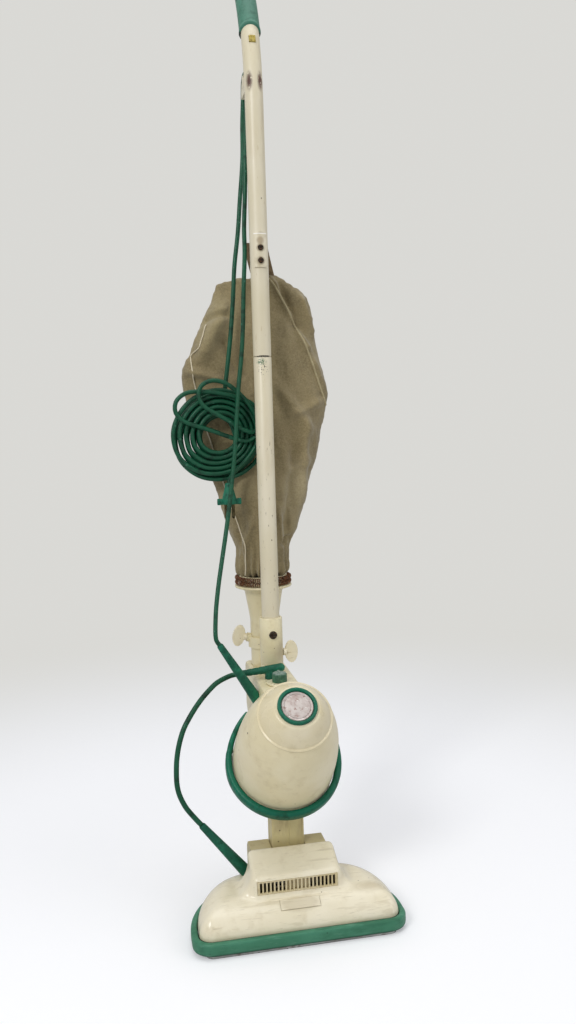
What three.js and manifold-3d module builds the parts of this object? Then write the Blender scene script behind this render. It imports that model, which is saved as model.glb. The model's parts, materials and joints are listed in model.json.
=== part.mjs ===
// Upright vacuum cleaner: a floor head with a driven brush roll, and a tilting upper body that
// holds the motor, the exhaust pipe with its dust bag, and a tube with a grip.
// Millimetres, +Z up, -Y to the front. The origin lies on the floor, straight below the neck hinge.
import * as THREE from 'three';
import { mergeVertices } from 'three/addons/utils/BufferGeometryUtils.js';
import Module from 'manifold-3d';

const wasm = await Module();
wasm.setup();

// ---------------------------------------------------------------- driving dimensions

const FIT = 0.3; // gap between pieces that touch
const WALL = 2.5; // wall of moulded covers and ducts
const SHEET = 1.5; // wall of pressed metal pieces

// Floor head
const HEAD_HALF = 124; // half width over the bumper
const HEAD_FRONT = 98; // bumper front, ahead of the hinge
const HEAD_REAR = 31; // bumper rear, behind the hinge
const END_BACK = 62; // the straight ends stop this far ahead of the hinge
const REAR_HALF = 36; // half of the straight part of the rear edge
const CORNER = 23; // front corner radius
const SOLE = 2.5; // sole plate thickness
const SOLE_END = 14; // sole plate's distance from the bumper ends
const SOLE_LIP = 4; // sole plate's distance from the bumper front
const BUMPER = 8; // bumper thickness
const BUMPER_LOW = 4;
const BUMPER_TOP = 18.5;
const SEAM = 17; // top of the chassis wall, where the cover sits
const COVER_TOP = 48; // flat top of the cover's wings
const COVER_ROUND = 34; // width of the rounded edge of the cover
const HUMP_HALF = 52; // half width of the motor hump
const HUMP_FRONT = 66; // hump face, ahead of the hinge
const HUMP_REAR = 20; // hump rear, ahead of the hinge
const HUMP_LOW = 69; // hump height at its face
const HUMP_HIGH = 87; // hump height at its rear
const HUMP_EDGE = 4; // rounding of the hump's ends
const GRILLE_HALF = 47;
const GRILLE_LOW = 51;
const GRILLE_TOP = 66;
const GRILLE_THICK = 3;
const SLOTS = 20;
const SLOT = 2.8; // slot width
const LABEL_HALF = 23; // inspection plate
const LABEL_DEEP = 12;
const LABEL_THICK = 1.2;
const LABEL_PROUD = 0.4; // the plate stands out of the cover by this

// Brush chamber and drive
const MOUTH_HALF = 92;
const MOUTH_FRONT = 75; // mouth's front edge, ahead of the hinge
const MOUTH_REAR = 43;
const CHAMBER_TOP = 32.5; // underside of the chamber roof
const BRUSH_HEIGHT = 16; // axis of the brush roll
const BRUSH_R = 11;
const BRISTLE_R = 14.5;
const JOURNAL_R = 3; // ends of the brush roll
const PULLEY_R = 6; // running surface of both pulleys
const BELT = 1.5; // belt thickness
const BELT_WIDE = 8;
const DRIVE_BACK = 42; // brush motor axis, ahead of the hinge
const DRIVE_HEIGHT = 54; // brush motor axis above the floor
const DRIVE_R = 14;
const DRIVE_FROM = 9; // the brush motor's casing runs from here
const DRIVE_TO = 47;
const ROLLER_R = 8;
const ROLLER_WIDE = 12;
const ROLLER_SIDE = 60; // middle of each rear roller
const ROLLER_BACK = 0; // roller axis behind the hinge
const ROLLER_LIFT = 0.2; // rollers clear the floor by this

// Hinge
const HINGE = 60; // hinge axis above the floor
const YOKE_HALF = 46;
const YOKE_TOP = 80;
const YOKE_REAR = 19; // rear face of the yoke's ears, behind the hinge
const YOKE_FOOT = 26; // underside of the yoke's foot
const YOKE_FLOOR = 31; // top of the yoke's foot
const PIN_R = 5;
const NECK_HALF = 19.5;
const NECK_FRONT = 12; // neck faces, ahead of and behind the hinge
const NECK_BACK = 16;

// Motor unit: its axis leans forward from this point
const MOTOR_Y = 2.7;
const MOTOR_Z = 180.4;
const MOTOR_LEAN = THREE.MathUtils.degToRad(45);
const EGG_R = 61.5; // housing radius at its foot
const EGG_LONG = 145; // length of the full egg
const EGG_POWER = 2.4;
const CAP_AT = 112; // seam between housing and cap, along the axis
const CAP_FLAT = 134; // flat top of the cap
const LIP = 1.2; // raised line round the cap's rim
const CASING_R = 62;
const CASING_DEEP = 32;
const RING_R = 71.2; // motor bumper, outside
const RING_LOW = -12; // motor bumper along the axis
const RING_HIGH = 4;
const RING_RISE = 42; // how far its ends climb towards the spine
const RING_SWEEP = THREE.MathUtils.degToRad(142); // its half angle round the axis
const BADGE_R = 22.3;
const BADGE_INNER = 18.2;
const BADGE_HIGH = 4;

// Motor inside
const SHAFT_R = 4;
const ROTOR_R = 23;
const STATOR_FROM = 24; // along the motor axis
const STATOR_TO = 64;
const STATOR_GAP = 0.8; // air gap round the rotor
const BEARING_R = 11;
const BEARING_WIDE = 7;
const PLATE_AT = -9; // bearing plate, along the axis
const BRUSHES_AT = 92; // brush plate, along the axis
const COMMUTATOR_R = 11;

// Spine, tube and pipe
const TUBE_Y = 62; // tube axis behind the hinge
const TUBE_R = 11;
const TUBE_WALL = 1.2;
const PIPE_Y = 110.5; // exhaust pipe axis behind the hinge
const PIPE_R = 18.5;
const SPINE_HALF = 25;
const SPINE_TOP = 272;
const SPINE_LOW = 198;
const SPINE_REAR = 21; // behind the pipe axis
const SPINE_EDGE = 5;
const SHOULDER = 284.7; // top of the round shoulder under the sleeve
const SPIGOT_TOP = 318; // top of the spine's spigot
const SLEEVE_R = 14.2;
const SLEEVE_TOP = 343.8;
const SLEEVE_SCREW_Z = 323.5;
const SLEEVE_WING_Z = 298;
const JOINT_Z = 665.8; // joint between the lower and upper tube
const TUBE_SPIGOT = 26; // how far the upper tube reaches into the lower one
const BEND_Z = 964; // where the upper tube starts to bend back
const BEND_R = 250;
const GRIP_FROM = THREE.MathUtils.degToRad(19.5); // along the bend
const GRIP_TO = THREE.MathUtils.degToRad(44.5);
const GRIP_R = 13;
const LATCH_AT = THREE.MathUtils.degToRad(16.2);
const LATCH_HALF = 4;
const LATCH_HIGH = 9;

// Dial and plug
const DIAL_Y = 12.5; // behind the hinge
const DIAL_R = 16;
const DIAL_THICK = 2;
const KNOB_R = 9;
const KNOB_HIGH = 11;
const PLUG_Y = 37;
const PLUG_X = -8; // axis of the plug's leg
const PLUG_Z = 283.5; // axis of the plug's body at the leg

// Exhaust and bag
const PIPE_FOOT = 240;
const PIPE_TOP = 303;
const CLAMP_HIGH = 14;
const CLAMP_WALL = 3;
const WING_LEAN = THREE.MathUtils.degToRad(14); // the clamp screw points up to the left
const WING_HIGH = 28; // wing screw paddles
const WING_WIDE = 16;
const WING_THICK = 5;
const WING_SHANK = 3; // radius of a wing screw's shank
const FUNNEL_NECK = 332; // end of the funnel's straight part
const FUNNEL_TOP = 375;
const FUNNEL_R = 25;
const RIM_R = 36.8;
const RIM_THICK = 3;
const COLLAR_R = 3.4; // half thickness of the spring collar
const COLLAR_HIGH = 12.5;
const BAG_TOP = 772;
const STRAP_TOP = 797;
const STRAP_HALF = 15; // half width of the bag's strap
const STRAP_ACROSS = 14; // its foot lies this far to the right of the hook that its tip hangs on

// Hooks and screws on the tube
const HOOK_LOW = 771;
const HOOK_HIGH = 811;
const HOOK_SWING = THREE.MathUtils.degToRad(39); // half angle of the hook plates round the tube
const HOOK_SCREWS = [779, 794];
const HOOK_BACK = 22; // the bag hook's reach behind the tube
const HOOK_WIRE = 2.6;
const SADDLE_X = -4.5; // middle of the cord hook's saddle
const SADDLE_LEFT = 2.7; // the saddle reaches this far to the left of its middle
const SADDLE_RIGHT = 5;
const SADDLE_Y = 98;
const SADDLE_Z = 990;
const SADDLE_R = 15;
const HANG_R = 20; // bend of the cord over the saddle

// Cords
const MAINS_R = 2.75;
const BRUSH_CORD_R = 3.1;
const COIL_X = -52; // middle of the coil
const COIL_Y = 88;
const COIL_Z = 572;
const COIL_OUTER = 54;
const COIL_INNER = 18;
const COIL_HALF = 11.5; // half thickness

// ---------------------------------------------------------------- finishes

const finishes = {
  cream: { color: 0xe3d8ba, roughness: 0.38, metalness: 0 },
  tan: { color: 0xd2c49b, roughness: 0.5, metalness: 0 },
  enamel: { color: 0xe4dcc4, roughness: 0.32, metalness: 0 },
  ivory: { color: 0xe6dcb8, roughness: 0.4, metalness: 0 },
  green: { color: 0x0b6b4c, roughness: 0.45, metalness: 0 },
  green_rubber: { color: 0x3e8463, roughness: 0.6, metalness: 0 },
  green_cord: { color: 0x1e6e4b, roughness: 0.5, metalness: 0 },
  steel: { color: 0xb5b5b0, roughness: 0.35, metalness: 1 },
  dark_steel: { color: 0x3c3732, roughness: 0.5, metalness: 1 },
  rusty: { color: 0x6b4530, roughness: 0.85, metalness: 0.3 },
  copper: { color: 0xa9653c, roughness: 0.4, metalness: 1 },
  black: { color: 0x1d1c1b, roughness: 0.7, metalness: 0 },
  bristle: { color: 0x2a2723, roughness: 0.9, metalness: 0 },
  badge: { color: 0xb9b0ac, roughness: 0.4, metalness: 0.5 },
  twill: { color: 0x8d7f6b, roughness: 0.95, metalness: 0 },
};

// ---------------------------------------------------------------- helpers

const V = (x, y, z) => new THREE.Vector3(x, y, z);

// Six times the signed volume inside an indexed mesh.
function signedVolume(position, index) {
  const [a, b, c] = [V(), V(), V()];
  let sum = 0;
  for (let i = 0; i < index.length; i += 3) {
    a.fromBufferAttribute(position, index[i]);
    b.fromBufferAttribute(position, index[i + 1]);
    c.fromBufferAttribute(position, index[i + 2]);
    sum += a.dot(b.cross(c));
  }
  return sum;
}

// The same surface with shared corners, no empty faces, and all faces turned outwards.
function closed(geometry) {
  const bare = geometry.clone();
  bare.deleteAttribute('normal');
  bare.deleteAttribute('uv');
  const merged = mergeVertices(bare, 1e-3);
  const all = merged.index.array;
  const kept = [];
  for (let i = 0; i < all.length; i += 3) {
    const [a, b, c] = [all[i], all[i + 1], all[i + 2]];
    if (a !== b && b !== c && c !== a) kept.push(a, b, c);
  }
  if (signedVolume(merged.attributes.position, kept) < 0) kept.reverse();
  merged.setIndex(kept);
  return merged;
}

function solid(geometry) {
  const { attributes, index } = closed(geometry);
  const triVerts = new Uint32Array(index.array);
  return new wasm.Manifold(
    new wasm.Mesh({ numProp: 3, vertProperties: attributes.position.array, triVerts })
  );
}

function surface(body) {
  const { vertProperties, triVerts } = body.getMesh();
  const geometry = new THREE.BufferGeometry();
  geometry.setAttribute('position', new THREE.BufferAttribute(vertProperties, 3));
  geometry.setIndex(new THREE.BufferAttribute(triVerts, 1));
  return geometry;
}

const join = (first, ...rest) => surface(rest.reduce((body, next) => body.add(solid(next)), solid(first)));
const cut = (first, ...rest) => surface(
  rest.reduce((body, next) => body.subtract(solid(next)), solid(first))
);
const common = (first, second) => surface(solid(first).intersect(solid(second)));

// A box between two corners.
function box(x0, x1, y0, y1, z0, z1) {
  const geometry = new THREE.BoxGeometry(x1 - x0, y1 - y0, z1 - z0);
  return geometry.translate((x0 + x1) / 2, (y0 + y1) / 2, (z0 + z1) / 2);
}

// A solid of revolution round Z from pairs of radius and height.
function turned(profile, sides = 32) {
  const points = profile.map(([r, z]) => new THREE.Vector2(r, z));
  return new THREE.LatheGeometry(points, sides).rotateX(Math.PI / 2);
}

const disc = (radius, from, to, sides = 32) => turned(
  [[0, from], [radius, from], [radius, to], [0, to]], sides,
);

// A plain ring round Z.
function ring(inner, outer, from, to, sides = 32) {
  return turned([[inner, from], [outer, from], [outer, to], [inner, to], [inner, from]], sides);
}

// A round bar between two points, with its own radius at each end.
function bar(from, to, r0, r1 = r0, sides = 16) {
  const along = to.clone().sub(from);
  const geometry = new THREE.CylinderGeometry(r1, r0, along.length(), sides);
  geometry.applyQuaternion(new THREE.Quaternion().setFromUnitVectors(V(0, 1, 0), along.clone().normalize()));
  return geometry.translate(...from.clone().lerp(to, 0.5).toArray());
}

// An outline in X and Y, raised from one height to another.
function raised(shape, from, to, curveSegments = 8) {
  const geometry = new THREE.ExtrudeGeometry(shape, { depth: to - from, bevelEnabled: false, curveSegments });
  return geometry.translate(0, 0, from);
}

// A side profile in Y and Z, made this wide along X, with rounded ends where a bevel is given.
function sideProfile(points, from, to, bevel = 0) {
  const shape = new THREE.Shape(points.map(([y, z]) => new THREE.Vector2(y, z)));
  const geometry = new THREE.ExtrudeGeometry(shape, {
    depth: to - from - 2 * bevel,
    bevelEnabled: bevel > 0,
    bevelThickness: bevel,
    bevelSize: bevel,
    bevelOffset: -bevel,
    bevelSegments: 2,
  });
  geometry.translate(0, 0, from + bevel);
  return geometry.applyMatrix4(new THREE.Matrix4().makeBasis(V(0, 1, 0), V(0, 0, 1), V(1, 0, 0)));
}

// A closed body made of rings: place(angle, t, out) gives each point, where t runs from end to end
// and out is 0 at the middle of an end face and 1 on the skin.
function lofted(sides, rings, place) {
  const geometry = new THREE.CylinderGeometry(1, 1, 1, sides, rings);
  const { position } = geometry.attributes;
  for (let i = 0; i < position.count; i++) {
    const [x, y, z] = [position.getX(i), position.getY(i), position.getZ(i)];
    const point = place(Math.atan2(z, x), y + 0.5, Math.min(1, Math.hypot(x, z)));
    position.setXYZ(i, point.x, point.y, point.z);
  }
  return geometry;
}

// A round cord or rod along a curve.
function cordAlong(curve, radius, steps, sides = 10) {
  const section = new THREE.Shape().absarc(0, 0, radius, 0, 2 * Math.PI);
  return new THREE.ExtrudeGeometry(section, { steps, extrudePath: curve, curveSegments: sides / 2 });
}

// A smooth run of values through pairs of place and value.
function through(pairs) {
  const places = pairs.map(([place]) => place);
  const run = new THREE.CubicInterpolant(places, pairs.map(([, value]) => value), 1);
  return (at) => run.evaluate(at)[0];
}

const model = new THREE.Group();

function part(group, name, geometry, finish) {
  const skin = closed(geometry);
  skin.computeVertexNormals();
  const mesh = new THREE.Mesh(skin, new THREE.MeshStandardMaterial(finishes[finish]));
  mesh.name = name;
  group.add(mesh);
  return mesh;
}

// ---------------------------------------------------------------- floor head

const head = new THREE.Group();
model.add(head);

// The head's plan outline, drawn in from the bumper's outside.
function headOutline(inset, frontInset = inset) {
  const end = HEAD_HALF - inset;
  const front = -(HEAD_FRONT - frontInset);
  const rear = HEAD_REAR - inset;
  const corner = Math.max(CORNER - inset, 5);
  const back = Math.max(-END_BACK, front + corner + 1);
  const shape = new THREE.Shape();
  shape.moveTo(-end, back);
  shape.lineTo(-end, front + corner);
  shape.absarc(-end + corner, front + corner, corner, Math.PI, 1.5 * Math.PI);
  shape.absarc(end - corner, front + corner, corner, 1.5 * Math.PI, 2 * Math.PI);
  shape.lineTo(end, back);
  shape.bezierCurveTo(end, back * 0.25, end * 0.72, rear, REAR_HALF, rear);
  shape.lineTo(-REAR_HALF, rear);
  shape.bezierCurveTo(-end * 0.72, rear, -end, back * 0.25, -end, back);
  return shape;
}

// The outline's corners, without its closing point.
const cornersOf = (shape) => shape.getPoints(6).slice(0, -1);

// A closed body of stacked outlines, each with as many corners, from the lowest to the highest.
function stacked(levels) {
  const rings = levels.map(({ outline, z }) => cornersOf(outline).map((p) => V(p.x, p.y, z)));
  const count = rings[0].length;
  const middle = (points) => points.reduce((sum, p) => sum.add(p), V(0, 0, 0)).divideScalar(count);
  return lofted(count, levels.length - 1, (angle, t, out) => {
    const level = rings[Math.round(t * (levels.length - 1))];
    const place = Math.round((angle / (2 * Math.PI) + 1) * count) % count;
    return out === 0 ? middle(level) : level[place].clone();
  });
}

const coverSteps = 6;

// How far in and how high the cover's rounded edge is at one of its steps.
function coverEdge(step) {
  const angle = (step / coverSteps) * (Math.PI / 2);
  return { inset: COVER_ROUND * (1 - Math.cos(angle)), z: SEAM + FIT + Math.sin(angle) * (COVER_TOP - SEAM) };
}

// The cover's outer skin, or its inside when drawn in: a flat-topped pillow with the motor hump on it.
function coverForm(inset, from) {
  const base = BUMPER + FIT + inset;
  const levels = [{ outline: headOutline(base), z: from }];
  for (let i = 0; i <= coverSteps; i++) {
    const edge = coverEdge(i);
    levels.push({ outline: headOutline(base + edge.inset), z: edge.z - inset });
  }
  const pillow = stacked(levels.filter(({ z }, i) => i === 0 || z > from + 0.5));
  const front = -(HUMP_FRONT - inset);
  const rear = -(HUMP_REAR + inset);
  const profile = [
    [front, SEAM + 8],
    [front, HUMP_LOW - 3 - inset],
    [front + 4, HUMP_LOW - inset],
    [rear - 5, HUMP_HIGH - inset],
    [rear, HUMP_HIGH - 4 - inset],
    [rear, SEAM + 8],
  ];
  const half = HUMP_HALF - inset;
  return join(pillow, sideProfile(profile, -half, half, HUMP_EDGE - inset / 2));
}

const mouth = box(-MOUTH_HALF, MOUTH_HALF, -MOUTH_FRONT, -MOUTH_REAR, -1, CHAMBER_TOP);
const rollerWell = (side, grow) => {
  const middle = side * ROLLER_SIDE;
  const wide = ROLLER_WIDE / 2 + grow;
  const deep = ROLLER_R + grow;
  return box(middle - wide, middle + wide, ROLLER_BACK - deep, ROLLER_BACK + deep, -1, 2 * ROLLER_R + grow);
};

function buildSolePlate() {
  const plate = raised(headOutline(SOLE_END, SOLE_LIP), 0, SOLE);
  return cut(plate, mouth, rollerWell(-1, 2), rollerWell(1, 2));
}

function buildChassis() {
  const low = SOLE + FIT;
  const outline = BUMPER + FIT;
  const tray = cut(
    raised(headOutline(outline), low, SEAM, 6),
    raised(headOutline(outline + WALL), low + WALL, SEAM + 1, 6),
  );
  const chamber = box(
    -MOUTH_HALF - WALL, MOUTH_HALF + WALL, -MOUTH_FRONT - WALL, -MOUTH_REAR + WALL, low, CHAMBER_TOP + WALL,
  );
  const channelTop = BRUSH_HEIGHT + 4;
  const channelHalf = NECK_HALF;
  const channel = box(-channelHalf, channelHalf, -MOUTH_REAR, NECK_BACK, low, channelTop);
  const airway = box(
    -channelHalf + WALL, channelHalf - WALL, -MOUTH_REAR - WALL, NECK_BACK - WALL, low + WALL,
    channelTop - WALL,
  );
  const outlet = box(
    -channelHalf + WALL, channelHalf - WALL, -NECK_FRONT, NECK_BACK - WALL, low + WALL, channelTop + 1,
  );
  const wells = [-1, 1].map((side) => rollerWell(side, 2 + WALL)).map(
    (well) => common(well, box(-200, 200, -100, 100, low, SEAM))
  );
  const ears = [-1, 1].map(
    (side) => box(side * YOKE_HALF - 4, side * YOKE_HALF + 4, -8, 8, low, YOKE_FOOT - FIT)
  );
  const journals = bar(
    V(-MOUTH_HALF - 5, -(MOUTH_FRONT + MOUTH_REAR) / 2, BRUSH_HEIGHT),
    V(MOUTH_HALF + 5, -(MOUTH_FRONT + MOUTH_REAR) / 2, BRUSH_HEIGHT), JOURNAL_R + FIT,
  );
  const axles = bar(
    V(-ROLLER_SIDE - 12, ROLLER_BACK, ROLLER_R + ROLLER_LIFT),
    V(-ROLLER_SIDE + 12, ROLLER_BACK, ROLLER_R + ROLLER_LIFT), JOURNAL_R + FIT,
  );
  const axlesRight = axles.clone().translate(2 * ROLLER_SIDE, 0, 0);
  const beltSlot = box(
    -BELT_WIDE / 2 - 3, BELT_WIDE / 2 + 3, -MOUTH_FRONT + 4, -MOUTH_REAR + WALL + 1, channelTop + 1,
    CHAMBER_TOP + WALL + 1,
  );
  const body = join(tray, chamber, channel, ...wells, ...ears);
  return cut(
    body, mouth, airway, outlet, rollerWell(-1, 2), rollerWell(1, 2), journals, axles, axlesRight, beltSlot,
  );
}

// The blank plate lies on one facet of the cover's front edge: its place and its slope.
const labelLow = coverEdge(3);
const labelHigh = coverEdge(4);
const labelLean = Math.atan2(labelHigh.z - labelLow.z, labelHigh.inset - labelLow.inset);

function labelBlock(grow, below, above) {
  const [half, deep] = [LABEL_HALF + grow, LABEL_DEEP / 2 + grow];
  const seatY = -HEAD_FRONT + BUMPER + FIT + (labelLow.inset + labelHigh.inset) / 2;
  const block = box(-half, half, -deep, deep, -below, above).rotateX(labelLean);
  return block.translate(0, seatY, (labelLow.z + labelHigh.z) / 2);
}

function buildCover() {
  const shell = cut(coverForm(0, SEAM + FIT), coverForm(WALL, SEAM + FIT - 1));
  const opening = box(
    -GRILLE_HALF - FIT, GRILLE_HALF + FIT, -HUMP_FRONT - 1, -HUMP_FRONT + 2 * WALL, GRILLE_LOW - FIT,
    GRILLE_TOP + FIT,
  );
  const notch = box(-YOKE_HALF - FIT, YOKE_HALF + FIT, -HUMP_REAR + WALL, HEAD_REAR, SEAM - 5, HUMP_HIGH + 5);
  return cut(shell, opening, notch, labelBlock(FIT, LABEL_THICK - LABEL_PROUD + FIT, 12));
}

function buildGrille() {
  const back = -HUMP_FRONT + 0.5;
  const plate = box(-GRILLE_HALF, GRILLE_HALF, back, back + GRILLE_THICK, GRILLE_LOW, GRILLE_TOP);
  const pitch = (2 * GRILLE_HALF - 4) / SLOTS;
  const slots = [];
  for (let i = 0; i < SLOTS; i++) {
    const x = -GRILLE_HALF + 2 + pitch * (i + 0.5);
    slots.push(
      box(x - SLOT / 2, x + SLOT / 2, back - 1, back + GRILLE_THICK + 1, GRILLE_LOW + 1.5, GRILLE_TOP - 1.5)
    );
  }
  return cut(plate, ...slots);
}

function buildBumper() {
  const band = new THREE.Shape(cornersOf(headOutline(0)));
  band.holes.push(new THREE.Path(cornersOf(headOutline(BUMPER)).reverse()));
  return raised(band, BUMPER_LOW, BUMPER_TOP);
}

function buildYoke() {
  const side = [
    [-HUMP_REAR + WALL + FIT, YOKE_FOOT],
    [YOKE_REAR, YOKE_FOOT],
    [YOKE_REAR, YOKE_TOP - 8],
    [YOKE_REAR - 8, YOKE_TOP],
    [-HUMP_REAR + WALL + FIT + 3, YOKE_TOP],
    [-HUMP_REAR + WALL + FIT, YOKE_TOP - 3],
  ];
  const block = sideProfile(side, -YOKE_HALF, YOKE_HALF);
  const room = box(-NECK_HALF - 1, NECK_HALF + 1, -HUMP_REAR, YOKE_REAR + 1, YOKE_FLOOR, YOKE_TOP + 1);
  const hole = box(
    -NECK_HALF + WALL, NECK_HALF - WALL, -NECK_FRONT, NECK_BACK - WALL, YOKE_FOOT - 1, YOKE_FLOOR + 1,
  );
  const bore = bar(V(-YOKE_HALF + 4, 0, HINGE), V(YOKE_HALF - 4, 0, HINGE), PIN_R + FIT);
  return cut(block, room, hole, bore);
}

const yokePin = (side) => bar(
  V(side * (NECK_HALF - WALL + 0.5), 0, HINGE), V(side * (YOKE_HALF - 4 - FIT), 0, HINGE), PIN_R,
);

const driveAxis = V(0, -DRIVE_BACK, DRIVE_HEIGHT);
const brushAxis = V(0, -(MOUTH_FRONT + MOUTH_REAR) / 2, BRUSH_HEIGHT);

function buildBrushMotor() {
  const at = (x) => driveAxis.clone().setX(x);
  const casing = bar(at(DRIVE_FROM), at(DRIVE_TO), DRIVE_R, DRIVE_R, 24);
  const foot = box(
    DRIVE_FROM + 4, DRIVE_TO - 4, -DRIVE_BACK - 6, -DRIVE_BACK + 10, CHAMBER_TOP + WALL + FIT, DRIVE_HEIGHT,
  );
  return cut(join(casing, foot), bar(at(DRIVE_FROM - 1), at(DRIVE_TO - 5), SHAFT_R - 1 + FIT));
}

// A pulley between two flanges, on the X axis.
function pulley(centre) {
  const half = BELT_WIDE / 2;
  const wheel = turned([
    [0, -half - 2.2], [PULLEY_R + 2, -half - 2.2], [PULLEY_R + 2, -half - 0.7], [PULLEY_R, -half - 0.7],
    [PULLEY_R, half + 0.7], [PULLEY_R + 2, half + 0.7], [PULLEY_R + 2, half + 2.2], [0, half + 2.2],
  ], 24);
  return wheel.rotateY(Math.PI / 2).translate(centre.x, centre.y, centre.z);
}

function buildBrushMotorShaft() {
  const at = (x) => driveAxis.clone().setX(x);
  return join(pulley(driveAxis), bar(at(0), at(DRIVE_TO - 6), SHAFT_R - 1));
}

// The belt runs straight between the two pulleys and half round each.
function buildBelt() {
  const along = driveAxis.clone().sub(brushAxis);
  const loop = (radius) => {
    const shape = new THREE.Shape();
    shape.absarc(0, 0, radius, Math.PI, 2 * Math.PI);
    shape.absarc(0, along.length(), radius, 0, Math.PI);
    return shape;
  };
  const band = loop(PULLEY_R + FIT + BELT);
  band.holes.push(new THREE.Path(loop(PULLEY_R + FIT).getPoints(10).reverse()));
  const belt = raised(band, -BELT_WIDE / 2, BELT_WIDE / 2, 10);
  const up = along.clone().normalize();
  const aside = V(1, 0, 0).cross(up).negate();
  const turn = new THREE.Matrix4().makeBasis(aside, up, aside.clone().cross(up));
  return belt.applyMatrix4(turn).translate(brushAxis.x, brushAxis.y, brushAxis.z);
}

function buildBrushRoll() {
  const at = (x) => brushAxis.clone().setX(x);
  const inner = BELT_WIDE / 2 + 2.2;
  const outer = MOUTH_HALF - 1;
  const pieces = [pulley(brushAxis)];
  for (const side of [-1, 1]) {
    pieces.push(bar(at(side * (inner - 0.5)), at(side * outer), BRUSH_R, BRUSH_R, 20));
    pieces.push(bar(at(side * (outer - 1)), at(side * (MOUTH_HALF + 4)), JOURNAL_R));
    const rows = 4;
    for (let i = 0; i < rows; i++) {
      const row = box(
        side > 0 ? inner + 2 : -outer + 3, side > 0 ? outer - 3 : -inner - 2, -1.8, 1.8, BRUSH_R - 1.5,
        BRISTLE_R,
      );
      pieces.push(row.rotateX((i / rows) * 2 * Math.PI).translate(0, brushAxis.y, brushAxis.z));
    }
  }
  return join(...pieces);
}

function buildRoller(side) {
  const at = (x) => V(x, ROLLER_BACK, ROLLER_R + ROLLER_LIFT);
  const middle = side * ROLLER_SIDE;
  const half = ROLLER_WIDE / 2;
  return join(
    bar(at(middle - half), at(middle + half), ROLLER_R, ROLLER_R, 24),
    bar(at(middle - half - 4), at(middle + half + 4), JOURNAL_R),
  );
}

const headReliefFoot = V(-46, -5, 43.7);
const headReliefTip = V(-102.5, -5, 114.2);

function buildHeadRelief() {
  const cone = bar(headReliefFoot, headReliefTip, 7.8, 4.3, 16);
  const besideYoke = box(-YOKE_HALF - 2 * FIT, 0, -60, 60, 0, 2 * YOKE_TOP);
  return cut(cone, coverForm(-FIT, SEAM), besideYoke);
}

part(head, 'sole_plate', buildSolePlate(), 'steel');
part(head, 'head_chassis', buildChassis(), 'black');
part(head, 'head_cover', buildCover(), 'cream');
part(head, 'vent_grille', buildGrille(), 'tan');
part(head, 'inspection_plate', labelBlock(0, LABEL_THICK - LABEL_PROUD, LABEL_PROUD), 'cream');
part(head, 'head_bumper', buildBumper(), 'green_rubber');
part(head, 'hinge_yoke', buildYoke(), 'tan');
part(head, 'hinge_pin_left', yokePin(-1), 'steel');
part(head, 'hinge_pin_right', yokePin(1), 'steel');
part(head, 'brush_motor', buildBrushMotor(), 'dark_steel');
part(head, 'brush_motor_shaft', buildBrushMotorShaft(), 'steel');
part(head, 'drive_belt', buildBelt(), 'black');
part(head, 'brush_roll', buildBrushRoll(), 'bristle');
part(head, 'roller_left', buildRoller(-1), 'black');
part(head, 'roller_right', buildRoller(1), 'black');
part(head, 'head_cord_relief', buildHeadRelief(), 'green');

// ---------------------------------------------------------------- motor unit

const upper = new THREE.Group();
model.add(upper);

// Pieces on the motor axis are made round Z and stand in this leaning group.
const motor = new THREE.Group();
motor.rotation.x = MOTOR_LEAN;
motor.position.set(0, MOTOR_Y, MOTOR_Z);
upper.add(motor);
const lean = (geometry) => geometry.clone().rotateX(MOTOR_LEAN).translate(0, MOTOR_Y, MOTOR_Z);
const unlean = (geometry) => geometry.clone().translate(0, -MOTOR_Y, -MOTOR_Z).rotateX(-MOTOR_LEAN);

const eggRadius = (s) => EGG_R * Math.sqrt(Math.max(0, 1 - (Math.max(0, s) / EGG_LONG) ** EGG_POWER));

// Radius and place pairs of the egg's skin between two places on the axis, moved outwards by grow.
function eggProfile(from, to, grow, steps = 10) {
  const pairs = [];
  for (let i = 0; i <= steps; i++) {
    const s = from + ((to - from) * i) / steps;
    pairs.push([eggRadius(s) + grow, s]);
  }
  return pairs;
}

// Everything that the egg and the fan casing fill, with a gap round it.
const motorRoom = (grow) => lean(turned([
  [0, -CASING_DEEP - grow], [CASING_R + grow, -CASING_DEEP - grow], [CASING_R + grow, 0],
  ...eggProfile(0, CAP_FLAT, grow), [0, CAP_FLAT + grow],
], 48));

const airChannel = box(-14, 14, 44, PIPE_Y, 212, 232);

function neckForm(low) {
  const column = box(-NECK_HALF, NECK_HALF, -NECK_FRONT, NECK_BACK, low, 180);
  const above = lean(disc(100, -CASING_DEEP - FIT, 60));
  return [column, above];
}

function buildNeck() {
  const [column, above] = neckForm(HINGE);
  const barrelR = NECK_FRONT;
  const barrel = bar(V(-NECK_HALF, 0, HINGE), V(NECK_HALF, 0, HINGE), barrelR, barrelR, 24);
  const skirt = box(-NECK_HALF, NECK_HALF, 0, NECK_BACK, HINGE - 6, HINGE + 1);
  const bore = box(
    -NECK_HALF + WALL, NECK_HALF - WALL, -NECK_FRONT + WALL, NECK_BACK - WALL, HINGE - barrelR - 1, 180,
  );
  const pins = bar(V(-NECK_HALF - 1, 0, HINGE), V(NECK_HALF + 1, 0, HINGE), PIN_R + FIT);
  return cut(join(column, barrel, skirt), above, bore, pins);
}

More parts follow.
